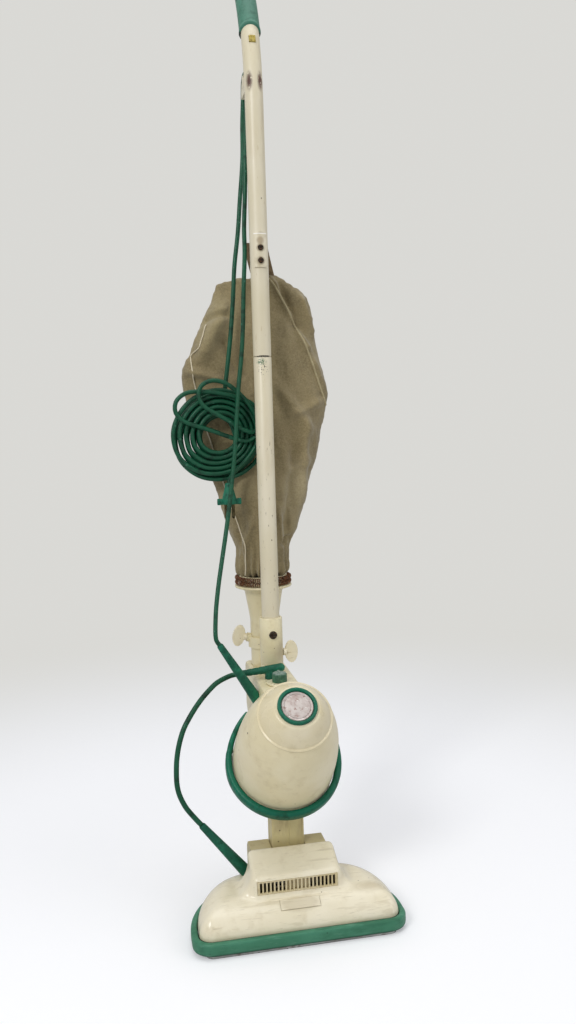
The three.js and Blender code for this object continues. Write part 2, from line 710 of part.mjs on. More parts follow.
function buildFanCasing() {
  const cup = turned([
    [0, -CASING_DEEP], [CASING_R - 5, -CASING_DEEP], [CASING_R, -CASING_DEEP + 5], [CASING_R, -FIT],
    [CASING_R - WALL, -FIT], [CASING_R - WALL, -CASING_DEEP + 7], [CASING_R - 7, -CASING_DEEP + WALL],
    [0, -CASING_DEEP + WALL],
  ], 40);
  const inlet = box(-NECK_HALF + WALL, NECK_HALF - WALL, -NECK_FRONT + WALL, NECK_BACK - WALL, HINGE, 200);
  return cut(cup, unlean(inlet), unlean(airChannel));
}

// The bumper lies round the foot of the egg; its two ends climb towards the spine and taper.
function buildRing() {
  const clear = FIT + 0.2;
  return lofted(8, 44, (angle, t, out) => {
    const turn = (2 * t - 1) * RING_SWEEP;
    const past = THREE.MathUtils.smoothstep(Math.abs(turn), 0.5 * RING_SWEEP, RING_SWEEP * 1.15);
    const rise = past * RING_RISE;
    const thin = 1 - 0.55 * past;
    const half = ((RING_HIGH - RING_LOW) / 2) * thin;
    const lowest = (RING_HIGH + RING_LOW) / 2 + rise - half;
    const inner = (lowest < FIT ? CASING_R : eggRadius(lowest)) + clear;
    const thick = (RING_R - CASING_R - clear) * thin;
    const r = inner + thick / 2 + (thick / 2) * Math.cos(angle) * out;
    const s = (RING_HIGH + RING_LOW) / 2 + rise + half * Math.sin(angle) * out;
    return V(r * Math.sin(turn), -r * Math.cos(turn), s);
  });
}

function buildHousing() {
  return turned([
    ...eggProfile(0, CAP_AT - FIT, 0, 9), ...eggProfile(0, CAP_AT - FIT, -WALL, 6).reverse(),
    [eggRadius(0), 0],
  ], 40);
}

function buildCap() {
  const outer = eggProfile(CAP_AT + 2, CAP_FLAT, 0, 5);
  const inner = eggProfile(CAP_AT, CAP_FLAT - WALL, -WALL, 3).reverse();
  const foot = eggRadius(CAP_AT);
  return turned([
    [0, CAP_FLAT - WALL], ...inner, [foot + LIP, CAP_AT], [foot + LIP, CAP_AT + 1.6], ...outer,
    [0, CAP_FLAT],
  ], 40);
}

function buildBearingPlate() {
  return ring(BEARING_R + FIT, CASING_R - WALL - FIT, PLATE_AT, PLATE_AT + 3, 32);
}

function buildBearing(at) {
  return ring(SHAFT_R + FIT, BEARING_R, at - BEARING_WIDE / 2, at + BEARING_WIDE / 2, 24);
}

// The brush plate closes the motor at its top and holds the upper bearing and both carbon brushes.
function buildBrushPlate() {
  const outer = eggRadius(BRUSHES_AT + 4) - WALL - 2 * FIT;
  const plate = ring(BEARING_R + FIT, outer, BRUSHES_AT, BRUSHES_AT + 4, 32);
  const holders = [-1, 1].map((side) => {
    const from = COMMUTATOR_R + 2;
    return side > 0 ? box(from, from + 16, -6, 6, BRUSHES_AT - 12, BRUSHES_AT + 1) : box(
      -from - 16, -from, -6, 6, BRUSHES_AT - 12, BRUSHES_AT + 1,
    );
  });
  const guides = box(-60, 60, -3 - FIT, 3 + FIT, BRUSHES_AT - 10 - FIT, BRUSHES_AT - 2 + FIT);
  return cut(join(plate, ...holders), guides);
}

function buildCarbonBrush(side) {
  const [from, to] = [COMMUTATOR_R + FIT, COMMUTATOR_R + 14];
  return side > 0 ? box(from, to, -3, 3, BRUSHES_AT - 10, BRUSHES_AT - 2) : box(
    -to, -from, -3, 3, BRUSHES_AT - 10, BRUSHES_AT - 2,
  );
}

const buildStator = () => ring(
  ROTOR_R + STATOR_GAP, eggRadius(STATOR_TO) - WALL - 2 * FIT, STATOR_FROM, STATOR_TO, 32,
);

function buildArmature() {
  const low = -CASING_DEEP + WALL + 3;
  return turned([
    [0, low], [SHAFT_R, low], [SHAFT_R, STATOR_FROM - 4], [ROTOR_R, STATOR_FROM - 2],
    [ROTOR_R, STATOR_TO + 2],
    [SHAFT_R + 2, STATOR_TO + 8], [COMMUTATOR_R, STATOR_TO + 9], [COMMUTATOR_R, BRUSHES_AT - 1.5],
    [SHAFT_R, BRUSHES_AT - 1], [SHAFT_R, BRUSHES_AT + 8], [0, BRUSHES_AT + 8],
  ], 24);
}

function buildImpeller() {
  const low = -CASING_DEEP + WALL + 4;
  const web = turned([
    [SHAFT_R + FIT, low], [SHAFT_R + 4, low], [SHAFT_R + 5, low + 2], [CASING_R - 8, low + 2],
    [CASING_R - 8, low + 3.5],
    [SHAFT_R + 5, low + 3.5], [SHAFT_R + 4, low + 12], [SHAFT_R + FIT, low + 12], [SHAFT_R + FIT, low],
  ], 24);
  const blades = [];
  const count = 8;
  for (let i = 0; i < count; i++) {
    const blade = box(SHAFT_R + 4, CASING_R - 10, -0.8, 0.8, low + 3, low + 11);
    blades.push(blade.rotateZ((i / count) * 2 * Math.PI));
  }
  return join(web, ...blades);
}

part(upper, 'neck_duct', buildNeck(), 'tan');
part(motor, 'fan_casing', buildFanCasing(), 'cream');
part(motor, 'motor_bumper', buildRing(), 'green');
part(motor, 'motor_housing', buildHousing(), 'cream');
part(motor, 'motor_cap', buildCap(), 'cream');
part(
  motor, 'badge_ring', ring(BADGE_INNER, BADGE_R, CAP_FLAT + FIT, CAP_FLAT + FIT + BADGE_HIGH, 32), 'green',
);
part(motor, 'badge_disc', disc(BADGE_INNER - FIT, CAP_FLAT + FIT, CAP_FLAT + BADGE_HIGH / 2, 32), 'badge');
part(motor, 'bearing_plate', buildBearingPlate(), 'steel');
part(motor, 'lower_bearing', buildBearing(PLATE_AT + 1.5), 'steel');
part(motor, 'upper_bearing', buildBearing(BRUSHES_AT + 2.5), 'steel');
part(motor, 'brush_plate', buildBrushPlate(), 'black');
part(motor, 'carbon_brush_left', buildCarbonBrush(-1), 'black');
part(motor, 'carbon_brush_right', buildCarbonBrush(1), 'black');
part(motor, 'stator', buildStator(), 'dark_steel');
part(motor, 'armature', buildArmature(), 'copper');
part(motor, 'fan_impeller', buildImpeller(), 'steel');

// ---------------------------------------------------------------- spine, dial and plug

const spineRear = PIPE_Y + SPINE_REAR;

function spineForm(grow) {
  const profile = [
    [-30, SPINE_TOP + grow],
    [spineRear + grow, SPINE_TOP + grow],
    [spineRear + grow, SPINE_LOW + 16],
    [spineRear - 14, SPINE_LOW - grow],
    [45, SPINE_LOW - grow],
    [-30, SPINE_LOW + 40],
  ];
  return sideProfile(profile, -SPINE_HALF - grow, SPINE_HALF + grow, SPINE_EDGE);
}

function buildSpine() {
  const shoulder = disc(SLEEVE_R, SPINE_TOP - 1, SHOULDER).translate(0, TUBE_Y, 0);
  const spigot = disc(TUBE_R, SPINE_TOP - 1, SPIGOT_TOP).translate(0, TUBE_Y, 0);
  const socket = disc(PIPE_R + FIT, PIPE_FOOT - FIT, SPINE_TOP + 1).translate(0, PIPE_Y, 0);
  const well = disc(PIPE_R - SHEET, 212, PIPE_FOOT + 1).translate(0, PIPE_Y, 0);
  const knobHole = disc(3 + FIT, SPINE_TOP - 9, SPINE_TOP + 1, 16).translate(0, DIAL_Y, 0);
  const screwHole = bar(
    V(8, TUBE_Y, SLEEVE_WING_Z), V(TUBE_R + 1, TUBE_Y, SLEEVE_WING_Z), WING_SHANK + FIT, WING_SHANK + FIT,
    16,
  );
  return cut(
    join(spineForm(0), shoulder, spigot), motorRoom(FIT), lean(buildRingRoom()), airChannel, well, socket,
    knobHole, screwHole,
  );
}

// The room that the motor bumper's inner edge needs where it passes the spine.
function buildRingRoom() {
  return ring(CASING_R - 1, RING_R + 1, RING_LOW - 1, RING_HIGH + 1, 48);
}

const dialTop = SPINE_TOP + FIT + DIAL_THICK;

function buildKnob() {
  const low = dialTop + FIT;
  const knob = turned([
    [0, SPINE_TOP - 8], [3, SPINE_TOP - 8], [3, low], [KNOB_R, low], [KNOB_R, low + KNOB_HIGH - 2],
    [KNOB_R - 1.5, low + KNOB_HIGH], [0, low + KNOB_HIGH],
  ], 28);
  const pointer = box(-1.5, 1.5, -KNOB_R + 1, KNOB_R - 1, low + KNOB_HIGH - 1, low + KNOB_HIGH + 1.2);
  return join(knob, pointer).translate(0, DIAL_Y, 0);
}

// The plug's leg stands in the spine's top and its body lies across, thinner towards the cable.
const plugRight = V(PLUG_X + 15, PLUG_Y, PLUG_Z + 1.5);
const plugLeft = V(-43.3, PLUG_Y, PLUG_Z - 2.5);

function buildPlug() {
  const leg = disc(5.5, SPINE_TOP + FIT, PLUG_Z, 20).translate(PLUG_X, PLUG_Y, 0);
  const body = bar(plugRight, plugLeft, 5.4, 3.9, 18);
  const nose = new THREE.SphereGeometry(5.2, 16, 10).translate(plugRight.x, plugRight.y, plugRight.z);
  return join(leg, body, nose);
}

part(upper, 'housing_spine', buildSpine(), 'cream');
part(
  upper, 'dial_plate', ring(3 + FIT, DIAL_R, SPINE_TOP + FIT, dialTop, 32).translate(0, DIAL_Y, 0), 'cream',
);
part(upper, 'switch_knob', buildKnob(), 'green');
part(upper, 'connector_plug', buildPlug(), 'green');

// ---------------------------------------------------------------- exhaust pipe and bag

const clampLow = PIPE_TOP - CLAMP_HIGH / 2;
const clampTop = PIPE_TOP + CLAMP_HIGH / 2;
const clampR = PIPE_R + FIT + CLAMP_WALL;

const onPipe = (geometry) => geometry.translate(0, PIPE_Y, 0);

// A wing screw along +X from the origin: shank, collar and an oval paddle.
function wingScrew(shankFrom, collarAt) {
  const shank = bar(V(shankFrom, 0, 0), V(collarAt + 2, 0, 0), WING_SHANK, WING_SHANK, 14);
  const collar = bar(V(collarAt, 0, 0), V(collarAt + 4, 0, 0), WING_SHANK + 1.6, WING_SHANK + 1.6, 14);
  const oval = new THREE.Shape().absellipse(0, 0, WING_WIDE / 2, WING_HIGH / 2, 0, 2 * Math.PI);
  const paddle = new THREE.ExtrudeGeometry(
    oval, { depth: WING_THICK, bevelEnabled: false, curveSegments: 10 },
  );
  paddle.translate(0, 0, -WING_THICK / 2).rotateX(Math.PI / 2).translate(
    collarAt + 2.5 + WING_WIDE / 2, 0, 0,
  );
  return join(shank, collar, paddle);
}

const screwTurn = (geometry) => geometry.rotateY(Math.PI + WING_LEAN).translate(0, PIPE_Y, PIPE_TOP);

function buildClamp() {
  const band = onPipe(ring(PIPE_R + FIT, clampR, clampLow, clampTop, 32));
  const boss = screwTurn(bar(V(PIPE_R + 1, 0, 0), V(clampR + 3, 0, 0), 6, 6, 16));
  const hole = screwTurn(
    bar(V(PIPE_R - 2, 0, 0), V(clampR + 5, 0, 0), WING_SHANK + FIT, WING_SHANK + FIT, 16)
  );
  const bore = onPipe(disc(PIPE_R + FIT, clampLow - 5, clampTop + 5));
  return cut(join(band, boss), bore, hole);
}

function buildFunnel() {
  const low = PIPE_TOP + FIT;
  const neck = FUNNEL_TOP + RIM_THICK + COLLAR_HIGH;
  const mouthR = RIM_R - COLLAR_R - 2 * FIT - 2;
  return onPipe(turned([
    [PIPE_R - SHEET, low], [PIPE_R, low], [PIPE_R, FUNNEL_NECK], [FUNNEL_R, FUNNEL_TOP - 2],
    [RIM_R - 2, FUNNEL_TOP],
    [RIM_R, FUNNEL_TOP + 1], [RIM_R, FUNNEL_TOP + RIM_THICK], [
      mouthR, FUNNEL_TOP + RIM_THICK,
    ], [mouthR, neck],
    [mouthR - SHEET, neck], [mouthR - SHEET, FUNNEL_TOP + 1], [FUNNEL_R - SHEET, FUNNEL_TOP],
    [PIPE_R - SHEET, FUNNEL_NECK + 1], [PIPE_R - SHEET, low],
  ], 32));
}

const collarMiddle = FUNNEL_TOP + RIM_THICK + FIT + COLLAR_HIGH / 2;

function buildCollar() {
  const mouthR = RIM_R - COLLAR_R - 2 * FIT - 2;
  return onPipe(
    ring(mouthR + FIT, RIM_R, collarMiddle - COLLAR_HIGH / 2 + FIT, collarMiddle + COLLAR_HIGH / 2, 36)
  );
}

const bagFoot = collarMiddle + COLLAR_HIGH / 2 + 2 * FIT;

// The slack bag: half width, middle across, half depth and middle depth along its height.
const bagHalf = through(
  [
    [390, 38], [417, 44], [463, 60], [515, 74], [570, 85], [624, 95], [657, 96], [711, 83], [741, 70],
    [762, 42], [BAG_TOP, 18],
  ]
);
const bagAcross = through([[390, 0], [430, 5.5], [570, 4.5], [655, 0], [711, 6], [741, 12], [BAG_TOP, 5]]);
const bagDeep = through([[390, 36], [430, 35], [515, 31], [624, 28], [711, 23], [748, 15], [BAG_TOP, 4]]);
const bagBack = through(
  [[390, PIPE_Y], [460, PIPE_Y + 5], [560, PIPE_Y + 21], [660, PIPE_Y + 21], [BAG_TOP, PIPE_Y + 8]]
);

function buildBag() {
  return lofted(24, 18, (angle, t, out) => {
    const z = bagFoot + (BAG_TOP - bagFoot) * t;
    const x = bagAcross(z) + bagHalf(z) * Math.cos(angle) * out;
    const y = bagBack(z) + bagDeep(z) * Math.sin(angle) * out;
    return V(x, y, z);
  });
}

part(upper, 'exhaust_pipe', onPipe(ring(PIPE_R - SHEET, PIPE_R, PIPE_FOOT, PIPE_TOP, 32)), 'enamel');
part(upper, 'pipe_clamp', buildClamp(), 'cream');
part(upper, 'clamp_wing_screw', screwTurn(wingScrew(PIPE_R + 1.8, clampR + 3 + FIT)), 'ivory');
part(upper, 'bag_funnel', buildFunnel(), 'cream');
part(upper, 'bag_collar', buildCollar(), 'rusty');
part(upper, 'dust_bag', buildBag(), 'twill');

// ---------------------------------------------------------------- tube, sleeve and grip

const onTube = (geometry) => geometry.translate(0, TUBE_Y, 0);
const sleeveBore = TUBE_R + FIT;

function buildSleeve() {
  const tube = onTube(ring(sleeveBore, SLEEVE_R, SHOULDER + FIT, SLEEVE_TOP, 32));
  const frontHole = bar(
    V(0, TUBE_Y - SLEEVE_R - 1, SLEEVE_SCREW_Z), V(0, TUBE_Y - 5, SLEEVE_SCREW_Z), 2.5 + FIT,
  );
  const sideHole = bar(V(5, TUBE_Y, SLEEVE_WING_Z), V(SLEEVE_R + 2, TUBE_Y, SLEEVE_WING_Z), WING_SHANK + FIT);
  return cut(tube, frontHole, sideHole);
}

// A slotted screw that points back along +Y, with its head's underside at the origin.
function slottedScrew(headR, headHigh, shankR, shankLong) {
  const head = bar(V(0, -headHigh, 0), V(0, 0, 0), headR * 0.8, headR, 20);
  const shank = bar(V(0, -0.5, 0), V(0, shankLong, 0), shankR, shankR, 12);
  const slot = box(-headR, headR, -headHigh - 1, -headHigh + 1, -0.6, 0.6);
  return cut(join(head, shank), slot);
}

const bendPoint = (angle) => V(0, TUBE_Y + BEND_R * (1 - Math.cos(angle)), BEND_Z + BEND_R * Math.sin(angle));

class Bend extends THREE.Curve {
  constructor(from, to) {
    super();
    this.from = from;
    this.to = to;
  }
  getPoint(t, target = new THREE.Vector3()) {
    return target.copy(bendPoint(this.from + (this.to - this.from) * t));
  }
}

function pipeAlong(curve, outer, inner, steps) {
  const section = new THREE.Shape().absarc(0, 0, outer, 0, 2 * Math.PI);
  if (inner > 0) section.holes.push(new THREE.Path().absarc(0, 0, inner, 0, 2 * Math.PI, true));
  return new THREE.ExtrudeGeometry(section, { steps, extrudePath: curve, curveSegments: 10 });
}

function buildLowerTube() {
  const tube = onTube(ring(TUBE_R - TUBE_WALL, TUBE_R, SPIGOT_TOP + FIT, JOINT_Z - FIT / 2, 24));
  const screwHole = bar(
    V(0, TUBE_Y - TUBE_R - 1, SLEEVE_SCREW_Z), V(0, TUBE_Y - 5, SLEEVE_SCREW_Z), 2.5 + FIT,
  );
  return cut(tube, screwHole);
}

const hookHoles = (reach) => HOOK_SCREWS.map(
  (z) => bar(V(0, TUBE_Y - reach, z), V(0, TUBE_Y + reach, z), 1.8 + FIT, 1.8 + FIT, 12)
);

// Where the latch stands: a frame on the tube's front with +Y pointing into the tube.
const latchFrame = (geometry) => {
  const at = bendPoint(LATCH_AT);
  return geometry.rotateX(-LATCH_AT).translate(at.x, at.y, at.z);
};

function buildUpperTube() {
  const inner = TUBE_R - TUBE_WALL;
  const spigotR = inner - FIT;
  const straight = ring(inner, TUBE_R, JOINT_Z + FIT / 2, BEND_Z + 1, 20);
  const step = turned([
    [spigotR - TUBE_WALL, JOINT_Z - TUBE_SPIGOT], [spigotR, JOINT_Z - TUBE_SPIGOT], [spigotR, JOINT_Z + 2],
    [TUBE_R - 0.3, JOINT_Z + 3], [TUBE_R - 0.3, JOINT_Z + 6], [inner - 0.2, JOINT_Z + 6],
    [spigotR - TUBE_WALL, JOINT_Z + 3], [spigotR - TUBE_WALL, JOINT_Z - TUBE_SPIGOT],
  ], 20);
  const bent = pipeAlong(new Bend(-0.002, GRIP_TO - 0.03), TUBE_R, inner, 9);
  const window = latchFrame(
    box(-LATCH_HALF - FIT, LATCH_HALF + FIT, -TUBE_R - 3, -2, -LATCH_HIGH / 2 - FIT, LATCH_HIGH / 2 + FIT)
  );
  const body = join(onTube(straight), onTube(step), bent);
  return cut(body, window, ...hookHoles(TUBE_R + 3));
}

function buildGrip() {
  const outer = join(pipeAlong(new Bend(GRIP_FROM, GRIP_TO), GRIP_R, 0, 6), dome());
  const bore = pipeAlong(new Bend(GRIP_FROM - 0.02, GRIP_TO - 0.03 + FIT / BEND_R), TUBE_R + FIT, 0, 6);
  return cut(outer, bore);
}

function dome() {
  const at = bendPoint(GRIP_TO);
  return new THREE.SphereGeometry(GRIP_R, 20, 10).translate(at.x, at.y, at.z);
}

function buildLatch() {
  const [half, high, skin] = [LATCH_HALF, LATCH_HIGH / 2, -TUBE_R + TUBE_WALL];
  const tab = box(-half, half, -TUBE_R - 1, skin, -high, high);
  const foot = box(-half - 1.3, half + 1.3, skin + 2.2, skin + 3.6, -high - 2, high + 2);
  const stem = box(-half + 1, half - 1, skin - 1, skin + 3, -high + 1, high - 1);
  return latchFrame(join(tab, stem, foot));
}

part(upper, 'tube_sleeve', buildSleeve(), 'cream');
const sleeveScrew = part(upper, 'sleeve_screw', slottedScrew(5.2, 2.4, 2.5, 6), 'dark_steel');
sleeveScrew.position.set(0, TUBE_Y - SLEEVE_R - FIT, SLEEVE_SCREW_Z);
const sleeveWing = part(upper, 'sleeve_wing_screw', wingScrew(8.5, SLEEVE_R + FIT), 'ivory');
sleeveWing.position.set(0, TUBE_Y, SLEEVE_WING_Z);
part(upper, 'lower_tube', buildLowerTube(), 'enamel');
part(upper, 'upper_tube', buildUpperTube(), 'enamel');
part(upper, 'hand_grip', buildGrip(), 'green_rubber');
part(upper, 'grip_latch', buildLatch(), 'dark_steel');

// ---------------------------------------------------------------- hooks

// A curved plate that hugs the tube; facing is the direction it lies in.
function huggingPlate(facing, from, to, thick) {
  const inner = TUBE_R + FIT;
  const shape = new THREE.Shape();
  shape.absarc(0, 0, inner + thick, facing - HOOK_SWING, facing + HOOK_SWING);
  shape.absarc(0, 0, inner, facing + HOOK_SWING, facing - HOOK_SWING, true);
  return onTube(raised(shape, from, to, 6));
}

const hookHead = TUBE_R + FIT + SHEET + FIT;

// A wire that leaves the rear plate, goes back and turns up at its end.
function buildBagHook() {
  const plate = huggingPlate(Math.PI / 2, HOOK_LOW, HOOK_HIGH, SHEET);
  const middle = (HOOK_SCREWS[0] + HOOK_SCREWS[1]) / 2;
  const root = TUBE_Y + TUBE_R + 1;
  const reach = TUBE_Y + TUBE_R + HOOK_BACK;
  const route = new THREE.CatmullRomCurve3([
    V(0, root, middle), V(0, root + 6, middle - 1), V(0, reach - 6, middle - 2), V(0, reach, middle + 1),
    V(0, reach, middle + 5),
  ]);
  return cut(join(plate, cordAlong(route, HOOK_WIRE, 10, 10)), ...hookHoles(TUBE_R + 10));
}

// The strap is a tapering tab sewn into the top of the bag, with an eye for the hook.
function buildStrap() {
  const middle = (HOOK_SCREWS[0] + HOOK_SCREWS[1]) / 2;
  const reach = TUBE_Y + TUBE_R + HOOK_BACK;
  const foot = { y: bagBack(BAG_TOP), z: BAG_TOP + FIT };
  const tip = { y: reach - 5, z: STRAP_TOP + 10 };
  const tab = lofted(12, 6, (angle, t, out) => {
    const x = THREE.MathUtils.lerp(STRAP_ACROSS, 0, t) + STRAP_HALF * Math.cos(angle) * out;
    const y = THREE.MathUtils.lerp(foot.y, tip.y, t) + 1.3 * Math.sin(angle) * out;
    return V(x, y, THREE.MathUtils.lerp(foot.z, tip.z, t));
  });
  const wide = HOOK_WIRE + 0.8;
  const eye = box(-wide, wide, TUBE_Y, PIPE_Y + 30, middle - HOOK_WIRE - 4, middle + 7);
  return cut(tab, eye);
}

// The saddle that the cord hangs over, on an arm from a plate behind the tube.
function buildCordHook() {
  const beside = SADDLE_X + MAINS_R + 0.8;
  const foot = box(beside, 8, TUBE_Y + 4, TUBE_Y + TUBE_R + 3, SADDLE_Z - 18, SADDLE_Z - 2);
  const half = new THREE.Shape();
  half.absarc(0, 0, SADDLE_R, 0, Math.PI);
  half.lineTo(-SADDLE_R, -5);
  half.lineTo(SADDLE_R, -5);
  const saddle = new THREE.ExtrudeGeometry(
    half, { depth: SADDLE_LEFT + SADDLE_RIGHT, bevelEnabled: false, curveSegments: 10 },
  );
  saddle.applyMatrix4(new THREE.Matrix4().makeBasis(V(0, 1, 0), V(0, 0, 1), V(1, 0, 0)));
  saddle.translate(SADDLE_X - SADDLE_LEFT, SADDLE_Y, SADDLE_Z);
  const left = SADDLE_X - SADDLE_LEFT;
  const lip = box(left - 0.4, left + 0.6, SADDLE_Y - 5, SADDLE_Y + 5, SADDLE_Z + 4, SADDLE_Z + SADDLE_R + 2);
  const arm = box(beside, 7, TUBE_Y + TUBE_R + 1, SADDLE_Y + 6, SADDLE_Z - 14, SADDLE_Z - 4.9);
  return cut(join(foot, arm, saddle, lip), pipeAlong(new Bend(-0.2, 0.3), TUBE_R + FIT, 0, 8));
}

part(
  upper, 'hook_plate',
  cut(huggingPlate(-Math.PI / 2, HOOK_LOW, HOOK_HIGH, SHEET), ...hookHoles(TUBE_R + 8)), 'cream',
);
part(upper, 'bag_hook', buildBagHook(), 'steel');
['hook_screw_lower', 'hook_screw_upper'].forEach((name, i) => {
  const screw = part(upper, name, slottedScrew(3.6, 1.6, 1.8, 2 * hookHead + 2), 'dark_steel');
  screw.position.set(0, TUBE_Y - hookHead, HOOK_SCREWS[i]);
});
part(upper, 'bag_strap', buildStrap(), 'twill');
part(upper, 'cord_hook', buildCordHook(), 'dark_steel');

// ---------------------------------------------------------------- cords

const mainsFoot = V(-18, 22.6, 237.5);
const mainsTip = V(-71.4, 10, 325.6);
const outOf = (foot, tip, far) => tip.clone().add(tip.clone().sub(foot).normalize().multiplyScalar(far));

part(
  upper, 'mains_cord_relief', cut(bar(mainsFoot, mainsTip, 7.6, 4.1, 16), spineForm(FIT), motorRoom(FIT)),
  'green',
);

// The mains cord climbs past its plug to the hook behind the tube and comes down to the coil.
const mainsRoute = new THREE.CatmullRomCurve3([
  outOf(mainsFoot, mainsTip, FIT), outOf(mainsFoot, mainsTip, 12),
  V(-74, 16, 358), V(-69, 25, 389), V(-61.3, 38, 422.7), V(-55, 47, 450), V(-48.5, 55, 482),
  V(-43, 60, 515),
  V(-38, 63, 550), V(-34, 65, 590), V(-30, 66, 630), V(-25, 67, 667), V(-22, 67, 700), V(-19.5, 68, 745),
  V(-16.5, 68, 790), V(-16, 69, 820), V(-13.5, 70, 860), V(-10.5, 73, 912), V(-7, 77, 955),
  V(SADDLE_X, SADDLE_Y - HANG_R, SADDLE_Z - 4), V(
    SADDLE_X, SADDLE_Y - HANG_R * 0.71, SADDLE_Z + HANG_R * 0.71,
  ),
  V(SADDLE_X, SADDLE_Y, SADDLE_Z + HANG_R), V(SADDLE_X, SADDLE_Y + HANG_R * 0.71, SADDLE_Z + HANG_R * 0.71),
  V(
    SADDLE_X, SADDLE_Y + HANG_R, SADDLE_Z - 4,
  ), V(-7, 113, 955), V(-9.5, 105, 912), V(-15.5, 99, 860), V(-20, 95, 820), V(-26, 92, 780), V(-30, 90,
  735), V(-35, 89, 690),
  V(-40, COIL_Y, 655), V(-44, COIL_Y, COIL_Z + COIL_OUTER - FIT),
], false, 'centripetal');
part(upper, 'mains_cord', cordAlong(mainsRoute, MAINS_R, 76, 8), 'green_cord');

// The coil is one ring of the bundle's outer shape, hanging behind the tube's left side.
function buildCoil() {
  const middle = (COIL_OUTER + COIL_INNER) / 2;
  const half = (COIL_OUTER - COIL_INNER) / 2;
  const section = [];
  for (let i = 0; i <= 12; i++) {
    const angle = (i / 12) * 2 * Math.PI;
    section.push([middle + half * Math.cos(angle), COIL_HALF * Math.sin(angle)]);
  }
  return turned(section, 32).rotateX(Math.PI / 2).translate(COIL_X, COIL_Y, COIL_Z);
}

part(upper, 'cord_coil', buildCoil(), 'green_cord');

// The mains plug hangs from the coil beside the rising cord, with its wings and its pins down.
function buildMainsPlug() {
  const body = bar(V(0, 0, -9), V(0, 0, 17), 9, 5.5, 16);
  const wings = box(-15, 15, -2, 2, -9, -2);
  const pins = [-1, 1].map((side) => bar(V(side * 4.5, 0, -8), V(side * 4.5, 0, -27), 2, 2, 10));
  return join(body, wings, ...pins).translate(-46, 68.4, 496);
}

part(upper, 'mains_plug', buildMainsPlug(), 'green');

// The brush cable hangs in a wide bow at the left, from the connector plug down to the floor head.
const brushRoute = new THREE.CatmullRomCurve3([
  outOf(plugRight, plugLeft, FIT), V(-54.8, 36, 280.3), V(-64.5, 33, 278), V(-75, 29, 274), V(-84, 24, 268),
  V(-94, 19, 259.5), V(-103, 14, 250), V(-111, 9, 240), V(-117.6, 5, 230), V(-122.4, 2, 218.7),
  V(-126.5, -1, 204),
  V(-129, -4, 186), V(-128.4, -6, 160.4), V(-121, -6, 140), outOf(headReliefFoot, headReliefTip, 12),
  outOf(headReliefFoot, headReliefTip, FIT),
], false, 'centripetal');
part(upper, 'brush_cable', cordAlong(brushRoute, BRUSH_CORD_R, 26, 10), 'green_cord');

export default model;
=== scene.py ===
import json
import math
import bmesh
import bpy
import numpy as np
from mathutils import Matrix, Vector, noise
from mathutils.bvhtree import BVHTree

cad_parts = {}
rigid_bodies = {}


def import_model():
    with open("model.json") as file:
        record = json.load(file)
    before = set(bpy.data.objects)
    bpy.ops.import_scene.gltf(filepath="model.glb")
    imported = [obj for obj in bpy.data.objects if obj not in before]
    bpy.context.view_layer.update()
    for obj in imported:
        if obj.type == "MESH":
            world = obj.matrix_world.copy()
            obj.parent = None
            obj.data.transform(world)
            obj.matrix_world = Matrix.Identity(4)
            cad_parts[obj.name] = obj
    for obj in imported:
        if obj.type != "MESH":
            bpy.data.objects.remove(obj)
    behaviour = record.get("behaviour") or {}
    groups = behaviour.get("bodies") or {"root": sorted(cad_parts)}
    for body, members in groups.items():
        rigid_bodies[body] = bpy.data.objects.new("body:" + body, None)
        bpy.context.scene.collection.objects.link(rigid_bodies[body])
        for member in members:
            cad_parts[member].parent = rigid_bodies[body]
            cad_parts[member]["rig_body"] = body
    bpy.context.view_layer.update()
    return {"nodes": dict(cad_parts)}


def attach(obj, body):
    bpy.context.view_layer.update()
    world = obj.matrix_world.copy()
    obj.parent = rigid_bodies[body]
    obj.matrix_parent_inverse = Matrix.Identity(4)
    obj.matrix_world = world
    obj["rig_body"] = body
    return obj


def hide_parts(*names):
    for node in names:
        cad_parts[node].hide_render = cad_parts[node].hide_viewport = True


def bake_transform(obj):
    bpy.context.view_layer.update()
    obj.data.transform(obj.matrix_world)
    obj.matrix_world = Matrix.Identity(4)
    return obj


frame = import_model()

# ------------------------------------------------------------ camera
# Upright vacuum cleaner, in metres, +Z up and its front towards -Y.
# The camera stands a little to the left of the front and looks slightly down.

EYE = Vector((-0.18732, -1.03307, 0.58259))
YAW, PITCH, ROLL = (math.radians(angle) for angle in (11.0326, 5.5313, 1.7134))
LENS, NEAREST = 31.64, 0.05

look = Vector((math.sin(YAW) * math.cos(PITCH), math.cos(YAW) * math.cos(PITCH), -math.sin(PITCH)))
level_right = Vector((math.cos(YAW), -math.sin(YAW), 0))
level_up = level_right.cross(look)
right = math.cos(ROLL) * level_right - math.sin(ROLL) * level_up
up = math.cos(ROLL) * level_up + math.sin(ROLL) * level_right
camera = bpy.data.objects.new("camera", bpy.data.cameras.new("camera"))
camera.data.lens, camera.data.clip_start = LENS, NEAREST
bpy.context.collection.objects.link(camera)
camera.matrix_world = Matrix.Translation(EYE) @ Matrix((right, up, -look)).transposed().to_4x4()
bpy.context.scene.camera = camera
bpy.context.scene.view_settings.view_transform = "Standard"

# ------------------------------------------------------------ studio
# A pale floor that fades into a pale grey distance. A soft lamp stands at the left front, a weaker
# one at the right and one overhead, and even light comes from all round.

